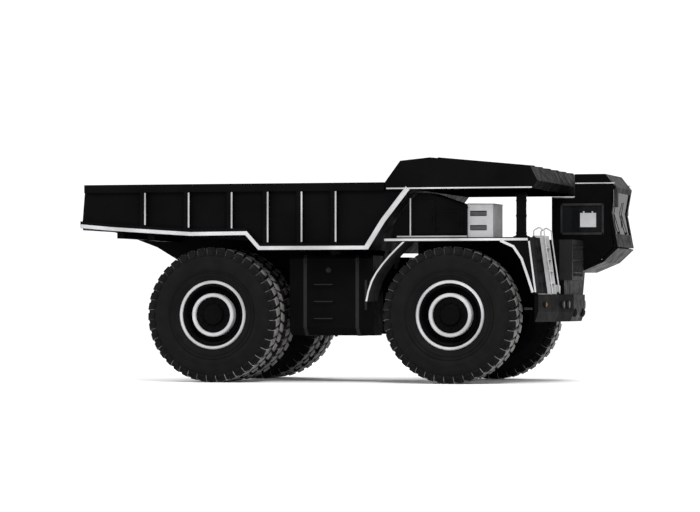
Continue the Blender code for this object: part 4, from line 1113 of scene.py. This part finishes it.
# %% Ladder rail and hand rails
RAIL_SIDES = (-1.88, -1.17)
rail_route = [(4.36, 1.77), (4.21, 2.80), (4.19, 3.02), (4.09, 3.08), (3.98, 3.02), (3.98, 2.89)]
rails = [bent([(x, y, z) for x, z in rail_route], 0.016) for y in RAIL_SIDES]
fit(joined("ladder_hand_rails", rails), pale_paint_and_highlight)
foot_line = [(0, 0), (0.035, 0), (0.035, 0.010), (0.02, 0.014), (0.016, 0.03), (0, 0.03)]
feet = [turned(foot_line, (3.98, y, DECK_TOP), axis="Z", steps=16) for y in RAIL_SIDES]
fit(joined("hand_rail_feet", feet), steel)
print("hand rails")

# %% [markdown]
# ## Tanks
# The fuel tank on the right and the oil tank on the left are held by two steel straps each. Each
# has a filler neck with a cap, a sight glass, a drain plug and rungs for the person who fills it.

# %% Straps, caps and rungs
for side, node_name in ((-1, "fuel_tank"), (1, "hydraulic_tank")):
    bands = []
    for x in (-0.72, 0.36):
        ring_line = [
            (1.08, 1.03), (1.19, 0.932), (1.745, 0.932), (1.908, 1.095), (1.908, 2.485),
            (1.845, 2.548), (1.08, 2.548)
        ]
        inner_line = [
            (y - 0.012 if y > 1.1 else y, z + (0.012 if z < 1.7 else -0.012)) for y, z in ring_line
        ]
        strap = outline(
            [(side * y, z) for y, z in ring_line + inner_line[::-1]], plane="YZ",
            depth=(x, x + 0.07)
        )
        buckle = [(x + 0.035, side * 1.912, z) for z in (2.38, 2.47)]
        bands += [strap, bar(*buckle, 0.014, 8)]
    fit(joined(node_name + "_straps", bands), steel)
    neck = turned(
        [
            (0, -0.01), (0.09, -0.01), (0.09, 0.03), (0.075, 0.035), (0.075, 0.05), (0.10, 0.052),
            (0.10, 0.085), (0.085, 0.095), (0, 0.097)
        ],
        (-0.15, side * 1.62, 2.54), axis="Z", steps=32
    )
    grip = block((-0.22, side * 1.62 - 0.012, 2.63), (-0.08, side * 1.62 + 0.012, 2.655), 0.006)
    y0, y1 = sorted((side * 1.896, side * 1.914))
    sight = block((0.55, y0, 1.45), (0.60, y1, 2.05), 0.006)
    gauge = turned(
        [(0, -0.004), (0.055, -0.004), (0.055, 0.012), (0.048, 0.016), (0, 0.014)],
        (-0.20, side * 1.90, 2.25), flip=side, steps=24
    )
    plug = bar((-0.15, side * 1.5, 0.945), (-0.15, side * 1.5, 0.915), 0.035, 6)
    fit(joined(node_name + "_fittings", [neck, grip, sight, gauge, plug]), steel)
    rung = [(-0.48, 1.895), (-0.48, 1.985), (-0.10, 1.985), (-0.10, 1.895)]
    rungs = [bent([(x, side * y, z) for x, y in rung], 0.013) for z in (1.28, 1.62, 1.96)]
    fit(joined(node_name + "_rungs", rungs), steel)
print("tank fittings")

# %% [markdown]
# ## Struts, hoists and axle
# A suspension strut wears a rubber gaiter over its sliding rod: a lathe outline that goes in and
# out. Each tipping hoist gets a gland nut round its rod's way out, which is a turned ring laid
# along the hoist's own slope. The drive axle gets its bolted cover.

# %% Gaiters, glands and the axle cover
def gaiter(centre, low, high, radius, folds, name):
    step = (high - low) / folds
    profile = [(radius - 0.03, low), (radius, low)]
    for fold in range(folds):
        start = low + step * fold
        profile += [(radius, start + step * 0.2), (radius - 0.018, start + step * 0.6)]
    profile += [(radius, high), (radius - 0.03, high)]
    made = turned(profile + [profile[0]], (centre[0], centre[1], 0), axis="Z", steps=32)
    return fit(placed(made, name), trim_rubber)


for label in ("left", "right"):
    low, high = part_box("front_strut_" + label)
    spot = (low + high) / 2
    gaiter(spot, 1.80, 2.03, 0.150, 5, "strut_gaiter_" + label)
    low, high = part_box("rear_cylinder_" + label)
    spot = (low + high) / 2
    gaiter(spot, low.z + 0.22, high.z - 0.14, 0.118, 5, "rear_gaiter_" + label)
    node_name = "hoist_barrel_" + label
    y = sum(corner.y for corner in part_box(node_name)) / 2
    foot, head = Vector((-1.56, y, 1.35)), Vector((0.24, y, 2.48))
    slope = (head - foot).normalized()
    for count, (at, outside, long) in enumerate(((1.965, 0.122, 0.05), (0.30, 0.122, 0.04))):
        ring_line = [(0.100, 0.0), (outside, 0.0), (outside, long), (0.100, long), (0.100, 0.0)]
        ring = turned(ring_line, (0, 0, 0), axis="Z", steps=24)
        lean = slope.to_track_quat("Z", "Y").to_matrix().to_4x4()
        ring.data.transform(Matrix.Translation(foot + slope * at) @ lean)
        fit(placed(ring, "hoist_collar_%s_%d" % (label, count)), steel, nodes[node_name]["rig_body"])
cover = turned(
    [(0, 0.0), (0.285, 0.0), (0.285, 0.10), (0.265, 0.12), (0.18, 0.15), (0.06, 0.165), (0, 0.165)],
    (-2.79, 0, 1.35), axis="X", steps=40, flip=-1
)
bolt = bar((-2.88, 0, 1.62), (-2.915, 0, 1.62), 0.014, 6)
fit(joined("axle_cover", [cover, ring_of(bolt, (-2.8, 0, 1.35), 14, axis="X")]), steel)
hoses = [
    bent(
        [
            (-1.00, 1.12, 1.55 + lift), (-1.12, 0.95, 1.52 + lift), (-1.30, 0.80, 1.16 - lift),
            (-1.50, side * 0.34, 1.13 - lift * 0.6), (-1.60, side * 0.26, 1.24)
        ],
        0.022
    )
    for side in (1, -1) for lift in (0.0, 0.07)
]
fit(joined("hoist_hoses", hoses), trim_rubber)
tail = [
    block((-3.72, y - 0.09, 1.88), (-3.68, y + 0.09, 2.02), 0.01) for y in (0.55, -0.55)
]
fit(joined("tail_lamp_plates", tail), steel)
for side, label in ((1, "left"), (-1, "right")):
    lens = turned(
        [(0, 0.0), (0.055, 0.0), (0.052, 0.018), (0.03, 0.028), (0, 0.031)],
        (-3.718, side * 0.55, 1.95), axis="X", steps=24, flip=-1
    )
    fit(placed(lens, "tail_lamp_lens_" + label), red_glass)
print("struts, hoists and axle")

# %% [markdown]
# ## The cab's inside
# The engineering seat is three blocks. This one has a pedestal, a crowned cushion and back with
# their sides drawn in, and a head rest. A pad is a cube whose faces are divided and pushed out most
# in the middle, then rounded by subdivision.


# %% Seat, wheel and screens
def pad(low, high, crown_by, name):
    """A cushion: a divided cube, crowned in its middle and pulled in between its corners."""
    low, high = Vector(low), Vector(high)
    centre, size = (low + high) / 2, high - low
    bpy.ops.object.select_all(action="DESELECT")
    bpy.ops.mesh.primitive_cube_add(size=2)
    made = bpy.context.object
    bpy.ops.object.mode_set(mode="EDIT")
    bpy.ops.mesh.subdivide(number_cuts=7)
    bpy.ops.object.mode_set(mode="OBJECT")
    for point in made.data.vertices:
        spot = point.co.copy()
        for axis in range(3):
            others = [spot[other] for other in range(3) if other != axis]
            swell = (1 - others[0] ** 2) * (1 - others[1] ** 2)
            pull = 0.05 * (1 - others[0] ** 2 * others[1] ** 2)
            crown_here = crown_by if abs(spot[axis]) > 0.99 else 0
            point.co[axis] = spot[axis] * (1 - pull + crown_here * swell)
        point.co = centre + Vector([point.co[axis] * size[axis] / 2 for axis in range(3)])
    apply(made, "SUBSURF", levels=1)
    smooth(made, 80)
    return placed(made, name)


base = block((4.02, 1.42, 2.285), (4.50, 1.80, 2.36), 0.015)
post = turned(
    [(0.13, 2.35), (0.11, 2.40), (0.13, 2.46), (0.11, 2.52), (0.13, 2.58), (0, 2.58)],
    (4.26, 1.61, 0), axis="Z", steps=24
)
tray = block((4.03, 1.40, 2.57), (4.52, 1.82, 2.63), 0.02)
arms = [
    block((4.05, y - 0.03, 2.94), (4.40, y + 0.03, 2.99), 0.018, segments=3) for y in (1.37, 1.85)
]
arms += [block((4.03, y - 0.015, 2.62), (4.08, y + 0.015, 2.95), 0.008) for y in (1.37, 1.85)]
fit(joined("seat_pedestal", [base, post, tray] + arms), steel)
for name, low, high in (
    ("seat_cushion", (4.04, 1.40, 2.62), (4.56, 1.82, 2.80)),
    ("seat_back", (3.97, 1.40, 2.80), (4.11, 1.82, 3.28)),
    ("seat_head_rest", (3.98, 1.48, 3.29), (4.09, 1.74, 3.45)),
):
    cushion = fit(pad(low, high, 0.16, name), seat_cloth, stands_for=["driver_seat"])
wheel_at, tilt = Vector((4.66, 1.61, 3.03)), 0.6
bpy.ops.object.select_all(action="DESELECT")
bpy.ops.mesh.primitive_torus_add(
    major_radius=0.21, minor_radius=0.016, major_segments=40, minor_segments=10,
    location=wheel_at, rotation=(0, -tilt, 0)
)
wheel_rim = smooth(placed(bpy.context.object, "wheel_rim"), 60)
ahead, upward = Vector((math.cos(tilt), 0, math.sin(tilt))), Vector(
    (-math.sin(tilt), 0, math.cos(tilt))
)
across = Vector((0, 1, 0))
spokes = [
    bar(wheel_at, wheel_at + 0.205 * (ahead * math.cos(a) + across * math.sin(a)), 0.012, 8)
    for a in (0.0, 2.1, 4.2)
]
column = bar(wheel_at - upward * 0.22, wheel_at + upward * 0.02, 0.035, 16)
fit(joined("steering_wheel", [wheel_rim, column] + spokes), trim_rubber, slot="dark_steel")
screens = [block((4.80, y - 0.12, 3.00), (4.84, y + 0.12, 3.17), 0.008) for y in (1.20, 2.08)]
screens += [block((4.835, y - 0.02, 2.99), (4.865, y + 0.02, 3.10), 0.005) for y in (1.20, 2.08)]
fit(joined("cab_screens", screens), trim_rubber, slot="dark_steel")
print("cab inside")

# %% [markdown]
# Two wipers park at the foot of the windshield. Its slope is measured from the panel's own points,
# so each arm lies just ahead of the glass.

# %% Windshield wipers
points = [point.co for point in nodes["windshield"].data.vertices]


def glass_front(z):
    """The windshield's outer face at a height, from its nearest points below and above."""
    levels = [point.z for point in points]
    under = max((level for level in levels if level <= z), default=min(levels))
    over = min((level for level in levels if level >= z), default=max(levels))
    a = max(point.x for point in points if abs(point.z - under) < 0.001)
    b = max(point.x for point in points if abs(point.z - over) < 0.001)
    return a if over - under < 0.001 else a + (b - a) * (z - under) / (over - under)


def on_glass(y, path, gap):
    """(sideways, height) pairs carried on to the glass, a gap ahead of it."""
    return [(glass_front(z) + gap, y + dy, z) for dy, z in path]


wipers = []
for y in (1.12, 1.98):
    reach = on_glass(y, ((0.0, 3.03), (-0.14, 3.22), (-0.24, 3.40)), 0.022)
    wipers += [bar(a, b, 0.009, 8) for a, b in zip(reach, reach[1:])]
    blade = on_glass(y, ((-0.30, 3.14), (-0.24, 3.40), (-0.18, 3.66)), 0.012)
    wipers += [bar(a, b, 0.008, 6) for a, b in zip(blade, blade[1:])]
    foot = glass_front(3.03)
    wipers.append(bar((foot - 0.004, y, 3.03), (foot + 0.03, y, 3.03), 0.025, 16))
fit(joined("windshield_wipers", wipers), trim_rubber)
print("wipers")

# %% [markdown]
# ## The stage
# A pale seamless floor, a large soft key light from the right, a weak fill from the rear, a third
# light from the far side and a white sky are all a product photograph needs. The camera stands far
# off with a long lens, so the truck looks nearly as flat as it does in the picture that the lesson
# follows.

# %% Floor, lights and camera
floor_size = 160
bpy.ops.object.select_all(action="DESELECT")
bpy.ops.mesh.primitive_plane_add(size=floor_size, location=(0, 0, -0.004))
floor = bpy.context.object
floor.name = "studio_floor"
floor_finish, floor_tree, floor_shader = new_finish("studio_floor")
floor_shader.inputs["Roughness"].default_value = 0.9
paleness = greys(floor_tree, noise(floor_tree, 0.4, 3), (0.3, 0.92), (0.7, 0.95))
floor_tree.links.new(paleness, floor_shader.inputs["Base Color"])
floor.data.materials.append(floor_finish)


def soft_light(name, place, aim, size, power, colour=(1, 1, 1)):
    lamp = bpy.data.objects.new(name, bpy.data.lights.new(name, "AREA"))
    lamp.data.shape, lamp.data.size, lamp.data.energy, lamp.data.color = "DISK", size, power, colour
    lamp.location = place
    lamp.rotation_euler = (Vector(aim) - Vector(place)).to_track_quat("-Z", "Y").to_euler()
    bpy.context.scene.collection.objects.link(lamp)
    return lamp


soft_light("key", (9, -20, 16), (0, 0, 2), 9, 5200)
soft_light("fill", (-18, -16, 9), (0, 0, 2), 10, 1800, (0.92, 0.95, 1.0))
soft_light("back_rim", (-6, 20, 14), (0, 0, 3), 9, 2600)
sky = bpy.data.worlds.new("pale_sky")
bpy.context.scene.world = sky
sky.use_nodes = True
sky.node_tree.nodes["Background"].inputs["Color"].default_value = (1.0, 1.0, 1.0, 1)
sky.node_tree.nodes["Background"].inputs["Strength"].default_value = 1.1
bpy.context.scene.view_settings.view_transform = "Standard"

turn = math.radians(15)
right_hand = Vector((math.cos(turn), math.sin(turn), 0))
away = Vector((-math.sin(turn), math.cos(turn), 0))
camera = bpy.data.objects.new("camera", bpy.data.cameras.new("camera"))
camera.data.lens, camera.data.sensor_width, camera.data.clip_end = 162.5, 36, 400
camera.location = -away * 65 - right_hand * 0.257 + Vector((0, 0, 1.65))
aim = Vector((0, 0, 2.555)) - right_hand * 0.257
camera.rotation_euler = (aim - camera.location).to_track_quat("-Z", "Y").to_euler()
bpy.context.scene.collection.objects.link(camera)
bpy.context.scene.camera = camera
print("stage set")

# %% [markdown]
# ## The end
# The dressed truck must stay as big as the engineering model, bar a few millimetres of skin.

# %% Finish
import json
